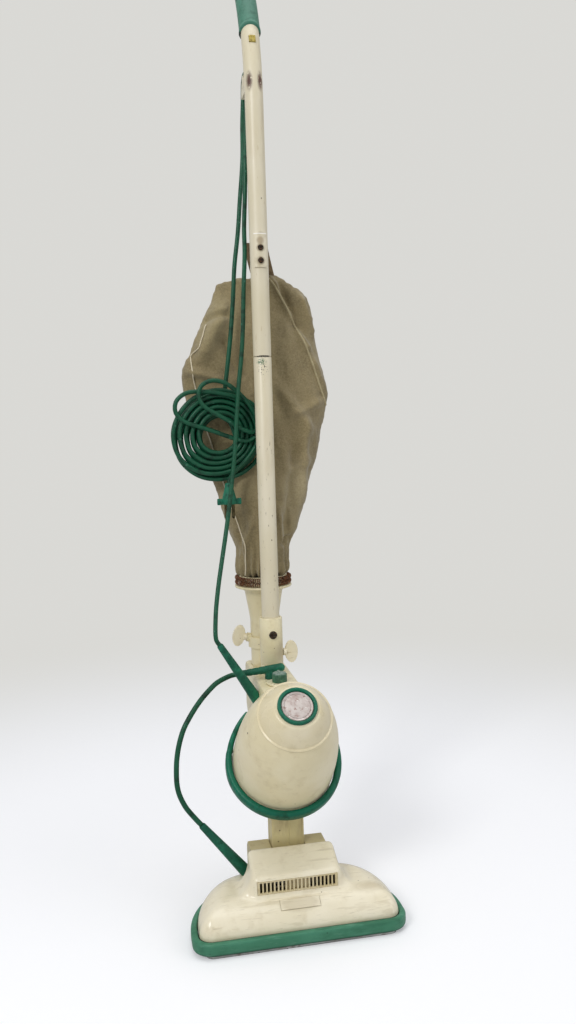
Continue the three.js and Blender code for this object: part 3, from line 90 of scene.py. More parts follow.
WALL_TONE = (0.70, 0.695, 0.668, 1)
FLOOR_TONE = (0.80, 0.80, 0.805, 1)
GLOW_TONE, GLOW = (0.86, 0.87, 0.9, 1), 0.28
BOUNCE_TONE = (0.7, 0.7, 0.7, 1)
AROUND_TONE, AROUND = (0.93, 0.95, 1.0, 1), 0.42
FADE_FROM, FADE_TO = 0.45, 1.5
FLOOR_HALF, FLOOR_PARTS, FLOOR_DROP = 9, 24, 0.0004
LIT_POINT = Vector((0, 0.03, 0.5))


def lamp(name, place, size, power):
    """A square lamp of this size that points at the middle of the cleaner."""
    light = bpy.data.lights.new(name, "AREA")
    light.size = size
    light.energy = power
    piece = bpy.data.objects.new(name, light)
    bpy.context.collection.objects.link(piece)
    piece.location = place
    piece.rotation_euler = (LIT_POINT - Vector(place)).to_track_quat("-Z", "Y").to_euler()


def feed(tree, socket, value):
    """Set an input to a value, or link it to the output that gives it."""
    if isinstance(value, bpy.types.NodeSocket):
        tree.links.new(value, socket)
    else:
        socket.default_value = value


def shader(tree, kind, *values, **settings):
    """The outputs of a new shader node, with pairs of an input and what feeds it."""
    made = tree.nodes.new("ShaderNode" + kind)
    for key, value in settings.items():
        setattr(made, key, value)
    for socket, value in values:
        feed(tree, made.inputs[socket], value)
    return made.outputs


lamp("key_lamp", (-1.5, -1.7, 1.9), 0.75, 29)
lamp("fill_lamp", (1.8, -1.2, 1.3), 1.6, 9)
lamp("top_lamp", (0.1, -0.1, 2.6), 1.8, 19)

world = bpy.data.worlds.new("studio")
bpy.context.scene.world = world
world.use_nodes = True
sky = world.node_tree
ray = shader(sky, "LightPath")
seen = shader(sky, "Background", ("Color", WALL_TONE))
around = sky.nodes["Background"]
around.inputs["Color"].default_value = AROUND_TONE
around.inputs["Strength"].default_value = AROUND
either = shader(sky, "Math", (0, ray["Is Camera Ray"]), (1, ray["Is Glossy Ray"]), operation="MAXIMUM")
choose = shader(sky, "MixShader", (0, either[0]), (1, around.outputs[0]), (2, seen[0]))
sky.links.new(choose[0], sky.nodes["World Output"].inputs["Surface"])

floor_mesh = bmesh.new()
bmesh.ops.create_grid(floor_mesh, x_segments=FLOOR_PARTS, y_segments=FLOOR_PARTS, size=FLOOR_HALF)
floor_data = bpy.data.meshes.new("floor")
floor_mesh.to_mesh(floor_data)
floor = bpy.data.objects.new("floor", floor_data)
floor.location.z = -FLOOR_DROP
bpy.context.collection.objects.link(floor)
paper = bpy.data.materials.new("floor_paper")
paper.use_nodes = True
sheet = paper.node_tree
sheet.nodes.clear()
place = shader(sheet, "TexCoord")
reach = shader(sheet, "VectorMath", (0, place["Object"]), operation="LENGTH")
ends = (("Value", reach["Value"]), ("From Min", FADE_FROM), ("From Max", FADE_TO))
fade = shader(sheet, "MapRange", *ends, interpolation_type="SMOOTHSTEP")
lit = shader(sheet, "BsdfDiffuse", ("Color", FLOOR_TONE))
glow = shader(sheet, "Emission", ("Color", GLOW_TONE), ("Strength", GLOW))
near = shader(sheet, "AddShader", (0, lit[0]), (1, glow[0]))
far = shader(sheet, "Emission", ("Color", WALL_TONE), ("Strength", 1.0))
faded = shader(sheet, "MixShader", (0, fade[0]), (1, near[0]), (2, far[0]))
sheet_ray = shader(sheet, "LightPath")
bounce = shader(sheet, "BsdfDiffuse", ("Color", BOUNCE_TONE))
sheet_choice = shader(sheet, "MixShader", (0, sheet_ray["Is Camera Ray"]), (1, bounce[0]), (2, faded[0]))
shader(sheet, "OutputMaterial", ("Surface", sheet_choice[0]))
floor_data.materials.append(paper)

# ------------------------------------------------------------ mains cord
# A long green rubber lead. It leaves the motor unit's left side, climbs beside the tube,
# hangs over the hook behind the grip, and comes down to a coil that ends in its plug.

MAINS_ROUND, MAINS_STEP = 0.0055, 4
mains_foot, mains_tip = Vector((-18, 22.6, 237.5)), Vector((-71.4, 10, 325.6))
mains_rise = [
    (-74, 16, 358), (-69, 25, 389), (-61.3, 38, 422.7), (-55, 47, 450), (-48.5, 55, 482), (-43, 60, 515),
    (-38, 63, 550), (-34, 65, 590), (-30, 66, 630), (-25, 67, 667), (-22, 67, 700), (-19.5, 68, 745),
    (-16.5, 68, 790), (-16, 69, 820), (-13.5, 70, 860), (-10.5, 73, 912), (-7, 77, 955), (-4.5, 78, 986),
    (-4.5, 83.8, 1004.2), (-4.5, 98, 1010), (-4.5, 112.2, 1004.2), (-4.5, 118, 986), (-7, 113, 955),
    (-9.5, 105, 912), (-15.5, 99, 860), (-20, 95, 820), (-26, 92, 780), (-30, 90, 735), (-35, 89, 690),
    (-40, 88, 655), (-44, 90, 625.7),
]
COIL = Vector((-52, 88, 572))
COIL_LAYERS = (8.3, 2.5, -3.3)
COIL_TIGHT, COIL_SPACE, COIL_TURNS, COIL_STEPS = 22, 6.2, 5, 12
COIL_LOOSE, COIL_OVAL, COIL_THREE, COIL_CROSSED, COIL_WAVY = 0.10, 1.8, 0.9, 1.3, 0.12
COIL_DRIFT = (Vector((3, 0, -3)), Vector((-4, 0, 5)))


def through(points, step):
    """A smooth line through these points, with a point about every step."""
    points = [Vector(p) for p in points]
    points = [2 * points[0] - points[1], *points, 2 * points[-1] - points[-2]]
    line = []
    for a, b, c, d in zip(points, points[1:], points[2:], points[3:]):
        gaps = [max((q - p).length ** 0.5, 1e-9) for p, q in ((a, b), (b, c), (c, d))]
        start = ((b - a) / gaps[0] - (c - a) / (gaps[0] + gaps[1]) + (c - b) / gaps[1]) * gaps[1]
        end = ((c - b) / gaps[1] - (d - b) / (gaps[1] + gaps[2]) + (d - c) / gaps[2]) * gaps[1]
        count = max(2, round((c - b).length / step))
        for i in range(count):
            t = i / count
            bent = 3 * (c - b) - 2 * start - end + t * (2 * (b - c) + start + end)
            line.append(b + t * (start + t * bent))
    return line + [points[-2]]


def past(foot, tip, far):
    """The point this far beyond the tip of a tapered relief."""
    return tip + (tip - foot).normalized() * far


def coil_line():
    """Three layers of turns, wound out, in and out again, each a cord's width from the next."""
    line = []
    for layer, depth in enumerate(COIL_LAYERS):
        for i in range(COIL_TURNS * COIL_STEPS):
            gone = i / COIL_STEPS
            wound = gone if layer != 1 else COIL_TURNS - gone
            turn = gone * 2 * math.pi
            loose = 1 + COIL_LOOSE * (1 + math.cos(turn - 2.3))
            radius = COIL_TIGHT + COIL_SPACE * wound * loose
            uneven = COIL_OVAL * math.cos(2 * turn + 0.8) + COIL_THREE * math.sin(3 * turn)
            radius += uneven * (0.3 + 0.7 * wound / COIL_TURNS)
            radius += (layer - 1) * COIL_CROSSED * math.sin(turn + 0.9)
            back = depth + COIL_WAVY * math.sin(2.3 * turn + layer)
            share = (layer * COIL_TURNS + gone) / (len(COIL_LAYERS) * COIL_TURNS)
            middle = COIL + COIL_DRIFT[0].lerp(COIL_DRIFT[1], share)
            line.append(middle + Vector((radius * math.cos(turn), back, -radius * math.sin(turn))))
    return line


mains_slack = [
    (0, 82, 590), (-4, 79.5, 574), (-17, 79, 564.5), (-36, 79, 568), (-60, 79, 577), (-80, 79, 584),
    (-96, 79, 590), (-106.5, 79, 601), (-106, 79, 614), (-95, 79, 624), (-78, 79, 626.5), (-53, 79, 624),
    (-28, 79, 618), (-12, 79, 610), (-1.5, 78.5, 597.5), (-2, 77.5, 583.5), (-12, 75.6, 575),
    (-26, 73.8, 579), (-43, 73.3, 590), (-60, 73.3, 600), (-72, 73.3, 608), (-78.5, 73.3, 620),
    (-75, 73.3, 632.5), (-62.5, 73.3, 639), (-48, 73.3, 637), (-34, 73.6, 628), (-20, 75, 614),
    (-9, 76.8, 597), (-4, 78, 580), (-7, 77.8, 563), (-15, 76.6, 549), (-24, 75.2, 539), (-33, 72.8, 531),
    (-40.5, 70.2, 524), (-45, 68.6, 516), (-46, 68, 510),
]
mains_points = [past(mains_foot, mains_tip, 0.3), past(mains_foot, mains_tip, 7), *mains_rise]
mains_points += [(-44, 97, 611), (-42, 100, 597), (-36, 98, 584), *coil_line()[1:], *mains_slack]
mains_line = [p / 1000 for p in through(mains_points, MAINS_STEP)]


def rgb(code):
    """A colour written as six hexadecimal digits, in linear light."""
    parts = [int(code[i:i + 2], 16) / 255 for i in (0, 2, 4)]
    return tuple(c / 12.92 if c <= 0.04045 else ((c + 0.055) / 1.055) ** 2.4 for c in parts)


class Finish:
    """A material built up in coats: a ground colour, then mottling, dirt, wear and grain laid over it."""

    def __init__(self, name, colour, rough, **skin):
        self.material = bpy.data.materials.new(name)
        self.material.use_nodes = True
        self.tree = self.material.node_tree
        self.skin = self.tree.nodes["Principled BSDF"]
        for key, value in skin.items():
            self.skin.inputs[key.replace("_", " ")].default_value = value
        self.colour, self.rough, self.height = (*rgb(colour), 1), rough, None
        self.place = self.node("TexCoord")["Object"]

    def node(self, kind, *values, **settings):
        """The outputs of a new node in this material."""
        return shader(self.tree, kind, *values, **settings)

    def sum(self, operation, a, b):
        """Two masks or numbers put together."""
        return self.node("Math", (0, a), (1, b), operation=operation)[0]

    def between(self, value, low, high):
        """A soft step from nothing at low to all at high."""
        ends = (("Value", value), ("From Min", low), ("From Max", high))
        return self.node("MapRange", *ends, interpolation_type="SMOOTHSTEP")[0]

    def scaled(self, size, stretch, seed):
        """The place on the object, measured in patches of this size and shifted by the seed."""
        scale = tuple(1 / (size * s) for s in stretch)
        shift = (seed, seed * 1.7, -seed)
        return self.node("Mapping", ("Vector", self.place), ("Location", shift), ("Scale", scale))[0]

    def grain(self, size, low, high, stretch=(1, 1, 1), seed=0.0):
        """A cloudy mask with patches of this size, which are thinner when low and high are higher."""
        spread = self.scaled(size, stretch, seed)
        inputs = (("Vector", spread), ("Scale", 1.0), ("Detail", 3.0), ("Roughness", 0.62))
        return self.between(self.node("TexNoise", *inputs)[0], low, high)

    def specks(self, spacing, size, share, stretch=(1, 1, 1), seed=0.0):
        """A mask of small round marks: size is a mark's share of the spacing, share how many there are."""
        spread = self.scaled(spacing, stretch, seed)
        cells = self.node("TexVoronoi", ("Vector", spread), ("Scale", 1.0))
        chosen = self.node("SeparateColor", ("Color", cells["Color"]))["Red"]
        inside = self.between(cells["Distance"], size, size * 0.5)
        return self.sum("MULTIPLY", inside, self.between(chosen, share, share * 0.96))

    def near(self, centre, reach, edge=0.5):
        """A mask that is whole at a place and gone at this reach from it, in metres along each axis."""
        offset = self.node("VectorMath", (0, self.place), (1, centre), operation="SUBTRACT")[0]
        part = self.node("VectorMath", (0, offset), (1, reach), operation="DIVIDE")[0]
        length = self.node("VectorMath", (0, part), operation="LENGTH")["Value"]
        return self.between(length, 1.0, 1.0 - edge)

    def along(self, axis, low, high):
        """A mask that rises from nothing at low to all at high, along one axis in metres."""
        return self.between(self.node("SeparateXYZ", ("Vector", self.place))[axis], low, high)

    def both(self, *masks):
        """Where all of these masks are."""
        whole = masks[0]
        for mask in masks[1:]:
            whole = self.sum("MULTIPLY", whole, mask)
        return whole

    def edges(self, low=0.52, high=0.6):
        """A mask of the proud edges."""
        return self.between(self.node("NewGeometry")["Pointiness"], low, high)

    def lay(self, mask, colour=None, rough=None, rise=0.0, weight=1.0):
        """One coat: its colour, its roughness, and how far it stands out in metres, where the mask is."""
        if weight != 1.0:
            mask = self.sum("MULTIPLY", mask, weight)
        if colour:
            ends = ((0, mask), (6, self.colour), (7, (*rgb(colour), 1)))
            self.colour = self.node("Mix", *ends, data_type="RGBA")[2]
        if rough is not None:
            self.rough = self.node("MapRange", ("Value", mask), ("To Min", self.rough), ("To Max", rough))[0]
        if rise:
            raised = self.sum("MULTIPLY", mask, rise)
            self.height = raised if self.height is None else self.sum("ADD", self.height, raised)
        return self

    def clouds(self, size, low, high, colour=None, rough=None, rise=0.0, weight=1.0, **spread):
        """A coat in cloudy patches."""
        return self.lay(self.grain(size, low, high, **spread), colour, rough, rise, weight)

    def marks(self, spacing, size, share, colour, rough, rise=0.0, weight=1.0, **spread):
        """A coat of small round marks."""
        return self.lay(self.specks(spacing, size, share, **spread), colour, rough, rise, weight)

    def spot(self, centre, reach, edge, colour, rough, weight=1.0):
        """A coat round one place."""
        return self.lay(self.near(centre, reach, edge), colour, rough, weight=weight)

    def rising(self, axis, low, high, colour, rough, weight=1.0):
        """A coat that comes in along one axis."""
        return self.lay(self.along(axis, low, high), colour, rough, weight=weight)

    def done(self):
        """The material, with its last colour, roughness and relief joined to the surface."""
        feed(self.tree, self.skin.inputs["Base Color"], self.colour)
        feed(self.tree, self.skin.inputs["Roughness"], self.rough)
        if self.height is not None:
            bump = self.node("Bump", ("Strength", 1.0), ("Distance", 1.0), ("Height", self.height))
            feed(self.tree, self.skin.inputs["Normal"], bump["Normal"])
        return self.material


cord_rubber = (
    Finish("cord_rubber", "0d4c33", 0.4, Specular_IOR_Level=0.3)
    .clouds(0.05, 0.4, 0.7, "14573d", 0.36)
    .clouds(0.012, 0.48, 0.72, "082f20", 0.58, seed=3)
    .marks(0.006, 0.3, 0.12, "396b55", 0.7)
    .clouds(0.0016, 0.35, 0.65, rise=0.00008, seed=8)
    .done()
)

mains_curve = bpy.data.curves.new("mains_lead", "CURVE")
mains_curve.dimensions = "3D"
mains_curve.bevel_depth = MAINS_ROUND / 2
mains_curve.bevel_resolution = 4
mains_curve.use_fill_caps = True
mains_run = mains_curve.splines.new("POLY")
mains_run.points.add(len(mains_line) - 1)
for point, at in zip(mains_run.points, mains_line):
    point.co = (*at, 1)
mains_curve.materials.append(cord_rubber)
mains_lead = bpy.data.objects.new("mains_lead", mains_curve)
bpy.context.collection.objects.link(mains_lead)
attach(mains_lead, "upper_body")
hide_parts("mains_cord", "cord_coil")

# ------------------------------------------------------------ plug and reliefs of the leads
# Moulded green rubber: a tapered relief where each lead enters the cleaner, and the mains plug
# with two finger wings, which hangs under the coil with its pins down.


def bare(name, mesh):
    """A plain object from a mesh, or from one that is still being drawn."""
    data = mesh
    if isinstance(mesh, bmesh.types.BMesh):
        data = bpy.data.meshes.new(name)
        bmesh.ops.recalc_face_normals(mesh, faces=mesh.faces)
        mesh.to_mesh(data)
        mesh.free()
    piece = bpy.data.objects.new(name, data)
    bpy.context.collection.objects.link(piece)
    return piece


def coated(piece, material):
    """Smooth the faces of a piece and give it its finish."""
    piece.data.polygons.foreach_set("use_smooth", [True] * len(piece.data.polygons))
    piece.data.materials.clear()
    piece.data.materials.append(material)


def made(name, mesh, material, slot, nodes, sharp=38, body=None):
    """A finished piece from a mesh: it moves with the body of the solids that it stands for."""
    piece = bare(name, mesh)
    coated(piece, material)
    piece.data.set_sharp_from_angle(angle=math.radians(sharp))
    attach(piece, body or frame["nodes"][nodes[0]]["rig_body"])
    if nodes:
        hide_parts(*nodes)
    return piece


def bridged(mesh, rings, loop=False):
    """Faces between rings of points, with the first and last ring closed unless the rings loop."""
    rings = [[mesh.verts.new(p) for p in ring] for ring in rings]
    pairs = list(zip(rings, rings[1:])) + ([(rings[-1], rings[0])] if loop else [])
    for low, high in pairs:
        count = max(len(low), len(high))
        for i in range(count):
            j = (i + 1) % count
            if len(low) == 1:
                mesh.faces.new((low[0], high[j], high[i]))
            elif len(high) == 1:
                mesh.faces.new((low[i], low[j], high[0]))
            else:
                mesh.faces.new((low[i], low[j], high[j], high[i]))
    if not loop:
        for ring in (rings[0], rings[-1]):
            if len(ring) > 2:
                mesh.faces.new(ring)
    return mesh


def circle(sides):
    """Angles spaced evenly round a circle."""
    return [2 * math.pi * k / sides for k in range(sides)]


def run(low, high, count):
    """Evenly spaced values from low to high."""
    return [low + (high - low) * i / count for i in range(count + 1)]


def swept(mesh, line, radius, sides=24, closed=False):
    """A round bar along a line. The radius is one number, or one for each point."""
    line = [Vector(p) for p in line]
    radii = radius if isinstance(radius, list) else [radius] * len(line)
    ahead = [(line[min(i + 1, len(line) - 1)] - line[max(i - 1, 0)]).normalized() for i in range(len(line))]
    if closed:
        ahead = [(line[(i + 1) % len(line)] - line[i - 1]).normalized() for i in range(len(line))]
    side = ahead[0].orthogonal().normalized()
    rings = []
    for at, way, r in zip(line, ahead, radii):
        side = (side - way * side.dot(way)).normalized()
        over = way.cross(side)
        rings.append([at + r * (math.cos(a) * side + math.sin(a) * over) for a in circle(sides)])
    return bridged(mesh, rings, loop=closed)


END_EASE = 0.8


def relief(name, node, foot, tip, wide, thin):
    """A smooth tapered rubber relief with an eased end."""
    places = run(0, 1, 60)
    line = [foot.lerp(tip, t) / 1000 for t in places]
    radii = [(wide + (thin - wide) * t ** 0.9 - (END_EASE if t == 1 else 0)) / 1000 for t in places]
    return made(name, swept(bmesh.new(), line, radii, 28), relief_rubber, "green_moulding", [node])


relief_rubber = (
    Finish("relief_rubber", "0f5540", 0.42, Specular_IOR_Level=0.25)
    .clouds(0.02, 0.42, 0.7, "1f7156", 0.4)
    .clouds(0.008, 0.5, 0.75, "0f4536", 0.6, seed=5)
    .clouds(0.0012, 0.35, 0.65, rise=0.0001, seed=2)
    .done()
)
mains_relief = relief("mains_relief", "mains_cord_relief", mains_foot, mains_tip, 7.6, 3.9)

PLUG = Vector((-0.046, 0.068, 0.496))
PLUG_FLAT = 0.82
WING_HALF, WING_AT, WING_THICK, WING_TALL = 15, -0.0055, 0.0021, 0.0036
plug_turns = circle(40)
plug_body = [
    (0, 0.0175), (0.0036, 0.0175), (0.0046, 0.0165), (0.0052, 0.012), (0.0075, 0.0035), (0.0088, -0.002),
    (0.009, -0.0072), (0.0083, -0.0088), (0, -0.009),
]
plug_shape = bridged(bmesh.new(), [
    [PLUG + Vector((r * math.cos(a), r * math.sin(a) * PLUG_FLAT, z)) for a in (plug_turns if r else [0])]
    for r, z in plug_body
])
wing_rings = []
for across in range(-WING_HALF, WING_HALF + 1):
    out = abs(across) / WING_HALF
    thick, tall = WING_THICK - 0.0004 * out, WING_TALL + 0.0006 * out ** 2
    if out == 1:
        thick, tall = thick * 0.6, tall * 0.8
    wing_rings.append([
        PLUG + Vector((across / 1000, thick * math.cos(a), WING_AT + tall * math.sin(a))) for a in plug_turns
    ])
bridged(plug_shape, wing_rings)
mains_plug = made("mains_plug_body", plug_shape, relief_rubber, "green_moulding", ["mains_plug"])
PIN_APART, PIN_TOP, PIN_LONG, PIN_TIP, PIN_R = 0.0045, -0.008, 0.017, 0.0188, 0.002
pins = bmesh.new()
for side in (-1, 1):
    pin = PLUG + Vector((PIN_APART * side, 0, PIN_TOP))
    line = [pin, pin - Vector((0, 0, PIN_LONG)), pin - Vector((0, 0, PIN_TIP))]
    swept(pins, line, [PIN_R, PIN_R, PIN_R / 2], 16)
brass = (
    Finish("pin_brass", "5c553c", 0.4, Metallic=1.0)
    .clouds(0.004, 0.45, 0.7, "38331f", 0.5)
    .done()
)
plug_pins = made("mains_plug_pins", pins, brass, "bare_steel", [], body="upper_body")

# ------------------------------------------------------------ cable of the brush motor
# A shorter green lead in a wide bow at the left: from the plug beside the dial down to its
# tapered relief on the floor head.

BRUSH_CORD, BRUSH_STEP = 0.0062, 3
link_right, link_left = Vector((7, 37, 285)), Vector((-43.3, 37, 281))
head_foot, head_tip = Vector((-46, -5, 43.7)), Vector((-102.5, -5, 114.2))
bow = [
    past(link_right, link_left, 0.3), (-54.8, 36, 280.3), (-64.5, 33, 278), (-75, 29, 274), (-84, 24, 268),
    (-94, 19, 259.5), (-103, 14, 250), (-111, 9, 240), (-117.6, 5, 230), (-122.4, 2, 218.7),
    (-126.5, -1, 204), (-129, -4, 186), (-128.4, -6, 160.4), (-121, -6, 140),
    past(head_foot, head_tip, 12), past(head_foot, head_tip, 0.3),
]
bow_line = [p / 1000 for p in through(bow, BRUSH_STEP)]
brush_lead = bare("brush_lead", swept(bmesh.new(), bow_line, BRUSH_CORD / 2, 20))
coated(brush_lead, cord_rubber)
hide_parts("brush_cable")
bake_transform(brush_lead)
head_relief = relief("head_relief", "head_cord_relief", head_foot, head_tip, 7.8, 4.2)

# ------------------------------------------------------------ chassis, sole plate and drive
# A black moulded tray over a bright pressed-steel sole plate, with the brush roll, its belt and
# motor, the rear rollers and the pins of the hinge. Their solids are kept, with eased edges.


def dressed(node, material, slot, edge, sharp=38):
    """A copy of a solid with its edges eased, in its own finish."""
    mesh = bmesh.new()
    mesh.from_mesh(frame["nodes"][node].data)
    bmesh.ops.remove_doubles(mesh, verts=mesh.verts, dist=0.00001)
    bmesh.ops.dissolve_limit(mesh, angle_limit=math.radians(1.5), verts=mesh.verts, edges=mesh.edges)
    piece = made(node + "_dressed", mesh, material, slot, [node], sharp)
    if edge:
        ease = piece.modifiers.new("eased", "BEVEL")
        ease.width = edge
        ease.segments = 2
        ease.limit_method = "ANGLE"
        ease.angle_limit = math.radians(40)
        ease.harden_normals = True
    return piece


sole_steel = (
    Finish("sole_steel", "d2d3d1", 0.26, Metallic=1.0)
    .clouds(0.004, 0.3, 0.7, "8d8e8c", 0.42, stretch=(12, 0.5, 1))
    .clouds(0.02, 0.5, 0.72, "6f675c", 0.55, seed=4)
    .marks(0.004, 0.28, 0.2, "3c3833", 0.7)
    .clouds(0.0012, 0.3, 0.7, rise=0.00004, stretch=(8, 0.4, 1), seed=6)
    .done()
)
moulded_black = (
    Finish("moulded_black", "20201f", 0.6)
    .clouds(0.03, 0.45, 0.7, "34322f", 0.75)
    .marks(0.005, 0.3, 0.2, "5a564f", 0.85)
    .clouds(0.0012, 0.35, 0.65, rise=0.00012)
    .done()
)
bare_steel = (
    Finish("bare_steel", "a9aaa8", 0.32, Metallic=1.0)
    .clouds(0.003, 0.3, 0.7, "838483", 0.45, stretch=(0.3, 6, 1))
    .clouds(0.008, 0.55, 0.75, "6a5544", 0.65, 0.00003, seed=2)
    .done()
)
dark_steel = (
    Finish("dark_steel", "4a443d", 0.45, Metallic=1.0)
    .clouds(0.004, 0.4, 0.68, "2a2521", 0.6, 0.00005)
    .clouds(0.0022, 0.52, 0.7, "6d4b34", 0.8, seed=7)
    .done()
)
belt_rubber = (
    Finish("belt_rubber", "1b1a19", 0.75)
    .clouds(0.0012, 0.3, 0.7, "2f2d2a", 0.85, 0.0001, stretch=(6, 1, 1))
    .done()
)
bristle = (
    Finish("brush_bristle", "2a2622", 0.85)
    .clouds(0.0006, 0.35, 0.65, "4b443b", 0.9, 0.0003, stretch=(0.5, 4, 4))
    .clouds(0.01, 0.5, 0.7, "6b6457", 0.95, seed=3)
    .done()
)

for node, material, slot, edge in (
    ("sole_plate", sole_steel, "sole_steel", 0.0004),
    ("head_chassis", moulded_black, "moulded_black", 0.0006),
    ("brush_roll", bristle, "brush_bristle", 0.0004), ("drive_belt", belt_rubber, "belt_rubber", 0.0003),
    ("brush_motor", dark_steel, "dark_steel", 0.0008),
    ("brush_motor_shaft", bare_steel, "bare_steel", 0.0003),
    ("roller_left", moulded_black, "moulded_black", 0.0008),
    ("roller_right", moulded_black, "moulded_black", 0.0008),
    ("hinge_pin_left", bare_steel, "bare_steel", 0.0005),
    ("hinge_pin_right", bare_steel, "bare_steel", 0.0005),
):
    dressed(node, material, slot, edge)

# ------------------------------------------------------------ head bumper
# A soft green rubber band, stretched round the edge of the head in a groove between the sole
# and the cover. Its faces are rounded and scuffed, and paler where it has rubbed along walls.

HEAD_HALF, HEAD_FRONT, HEAD_REAR = 0.124, 0.098, 0.031
END_BACK, REAR_HALF, CORNER = 0.062, 0.036, 0.023
BUMPER, BUMPER_LOW, BUMPER_TOP = 0.008, 0.004, 0.0185


def plan(inset, z):
    """The head's outline drawn in from the bumper's outside, with as many points at every inset."""
    end, ahead, rear = HEAD_HALF - inset, -(HEAD_FRONT - inset), HEAD_REAR - inset
    corner = max(CORNER - inset, 0.005)
    back = max(-END_BACK, ahead + corner + 0.001)
    half = [(x, ahead) for x in run(0, end - corner, 28)]
    arcs = [math.radians(a) for a in run(0, 90, 14)[1:]]
    half += [(end - corner + corner * math.sin(a), ahead + corner - corner * math.cos(a)) for a in arcs]
    half += [(end, y) for y in run(ahead + corner, back, 6)[1:]]
    a, b, c, d = (Vector(p) for p in ((end, back), (end, back * 0.25), (end * 0.72, rear), (REAR_HALF, rear)))
    for t in run(0, 1, 32)[1:]:
        spot = a * (1 - t) ** 3 + b * 3 * t * (1 - t) ** 2 + c * 3 * t * t * (1 - t) + d * t ** 3
        half.append(tuple(spot))
    half += [(x, rear) for x in run(REAR_HALF, 0, 6)[1:]]
    return [Vector((x, y, z)) for x, y in half[:-1]] + [Vector((-x, y, z)) for x, y in reversed(half[1:])]


def squared(turn, power):
    """The cosine and sine of an angle, drawn out towards a square."""
    return (math.copysign(abs(v) ** power, v) for v in (math.cos(turn), math.sin(turn)))


band_rings = []
for turn in circle(20):
    out, high = squared(turn, 0.55)
    z = (BUMPER_LOW + BUMPER_TOP) / 2 + (BUMPER_TOP - BUMPER_LOW) / 2 * high
    band_rings.append(plan(BUMPER / 2 * (1 - out), z))
head_rubber = (
    Finish("head_rubber", "35785a", 0.5)
    .clouds(0.05, 0.38, 0.7, "418568", 0.46)
    .clouds(0.012, 0.46, 0.7, "2b6a4e", 0.65, stretch=(3, 1, 1), seed=4)
    .clouds(0.006, 0.56, 0.7, "6a9a84", 0.65, 0.00005, stretch=(4, 1, 0.6), seed=9, weight=0.4)
    .marks(0.012, 0.12, 0.3, "1e4436", 0.7, weight=0.6)
    # painted shade: the band is darker towards its lower edge
    .rising("Z", 0.008, 0.004, "24513f", 0.7, weight=0.7)
    .clouds(0.0015, 0.35, 0.65, rise=0.00012, seed=1)
    .done()
)
band = bridged(bmesh.new(), band_rings, loop=True)
made("head_band", band, head_rubber, "head_rubber", ["head_bumper"], 60)

# ------------------------------------------------------------ head cover
# One cream moulding: a flat-topped pillow with the motor hump flaring out of it, open below and
# behind. It is scuffed and scratched, with darker specks, and has painted shade at its foot and beside the
# hump.

SEAM, COVER_TOP, COVER_ROUND = 0.0173, 0.048, 0.034
HUMP_HALF, HUMP_FRONT, HUMP_REAR, HUMP_LOW, HUMP_HIGH = 0.052, 0.066, 0.020, 0.069, 0.087
GRILLE_HALF, GRILLE_LOW, GRILLE_TOP = 0.047, 0.051, 0.066
COVER_WALL = 0.0025
COVER_BASE = BUMPER + 0.0003
HUMP_EASE, HUMP_FOOT, COVER_GRAIN, FIT = 0.0055, 0.025, 0.0014, 0.0003
FLARE_AT, FLARE_WIDE, FLARE_LOW, FLARE_TOP, FLARE_FADE, FLARE_PULL = 0.055, 0.02, 0.04, 0.074, 0.012, 1.6
OPEN_HALF, OPEN_FROM, OPEN_LOW = 0.0463, -HUMP_REAR + 0.0025, 0.012
LABEL_HALF, LABEL_DEEP, LABEL_CUT = 0.023, 0.012, 0.0011


def block(mesh, low, high):
    """A box between two corners."""
    plane = ((low[0], low[1]), (high[0], low[1]), (high[0], high[1]), (low[0], high[1]))
    return bridged(mesh, [[Vector((x, y, z)) for x, y in plane] for z in (low[2], high[2])])


def settled(piece):
    """The mesh of a piece with its modifiers made permanent."""
    graph = bpy.context.evaluated_depsgraph_get()
    mesh = bpy.data.meshes.new_from_object(piece.evaluated_get(graph))
    bpy.data.objects.remove(piece)
    return mesh


def combined(piece, other, operation):
    """A piece joined to another, or with another cut from it."""
    change = piece.modifiers.new("change", "BOOLEAN")
    change.operation = operation
    change.object = other
    change.solver = "EXACT"
    mesh = settled(piece)
    bpy.data.objects.remove(other)
    return bare("joined", mesh)


def evened(piece, size):
    """The mesh of a piece, made again in small even faces."""
    change = piece.modifiers.new("even", "REMESH")
    change.mode = "VOXEL"
    change.voxel_size = size
    return settled(piece)


def rounding(degrees):
    """How far in and how high the pillow's skin is at this turn of its rounding."""
    turn = math.radians(degrees)
    return COVER_ROUND * (1 - math.cos(turn)), SEAM + math.sin(turn) * (COVER_TOP - SEAM)


pillow_rings = [plan(COVER_BASE, SEAM - 0.006)]
pillow_rings += [plan(COVER_BASE + inset, z) for inset, z in map(rounding, range(0, 91, 5))]
pillow = bare("pillow", bridged(bmesh.new(), pillow_rings))
hump_side = [
    (-HUMP_FRONT, HUMP_FOOT), (-HUMP_FRONT, HUMP_LOW), (-HUMP_REAR - 0.001, HUMP_HIGH),
    (-HUMP_REAR, HUMP_FOOT),
]
hump_ends = [[Vector((x, y, z)) for y, z in hump_side] for x in (-HUMP_HALF, HUMP_HALF)]
hump_shape = bridged(bmesh.new(), hump_ends)
bmesh.ops.bevel(
    hump_shape, geom=hump_shape.edges[:], offset=HUMP_EASE, segments=4, affect="EDGES", profile=0.5,
)
cover = combined(pillow, bare("hump", hump_shape), "UNION")
flank_front, flank_rear = -HUMP_FRONT + 0.005, -HUMP_REAR - 0.003
flank_rows = [
    (0.076, 0.030), (0.076, 0.0440), (0.067, 0.0480), (0.060, 0.0535), (0.0555, 0.0605), (0.0525, 0.0690),
]
flank = bridged(bmesh.new(), [[
    Vector((-half, flank_front, z)), Vector((half, flank_front, z)),
    Vector((half, flank_rear, z)), Vector((-half, flank_rear, z)),
] for half, z in flank_rows])
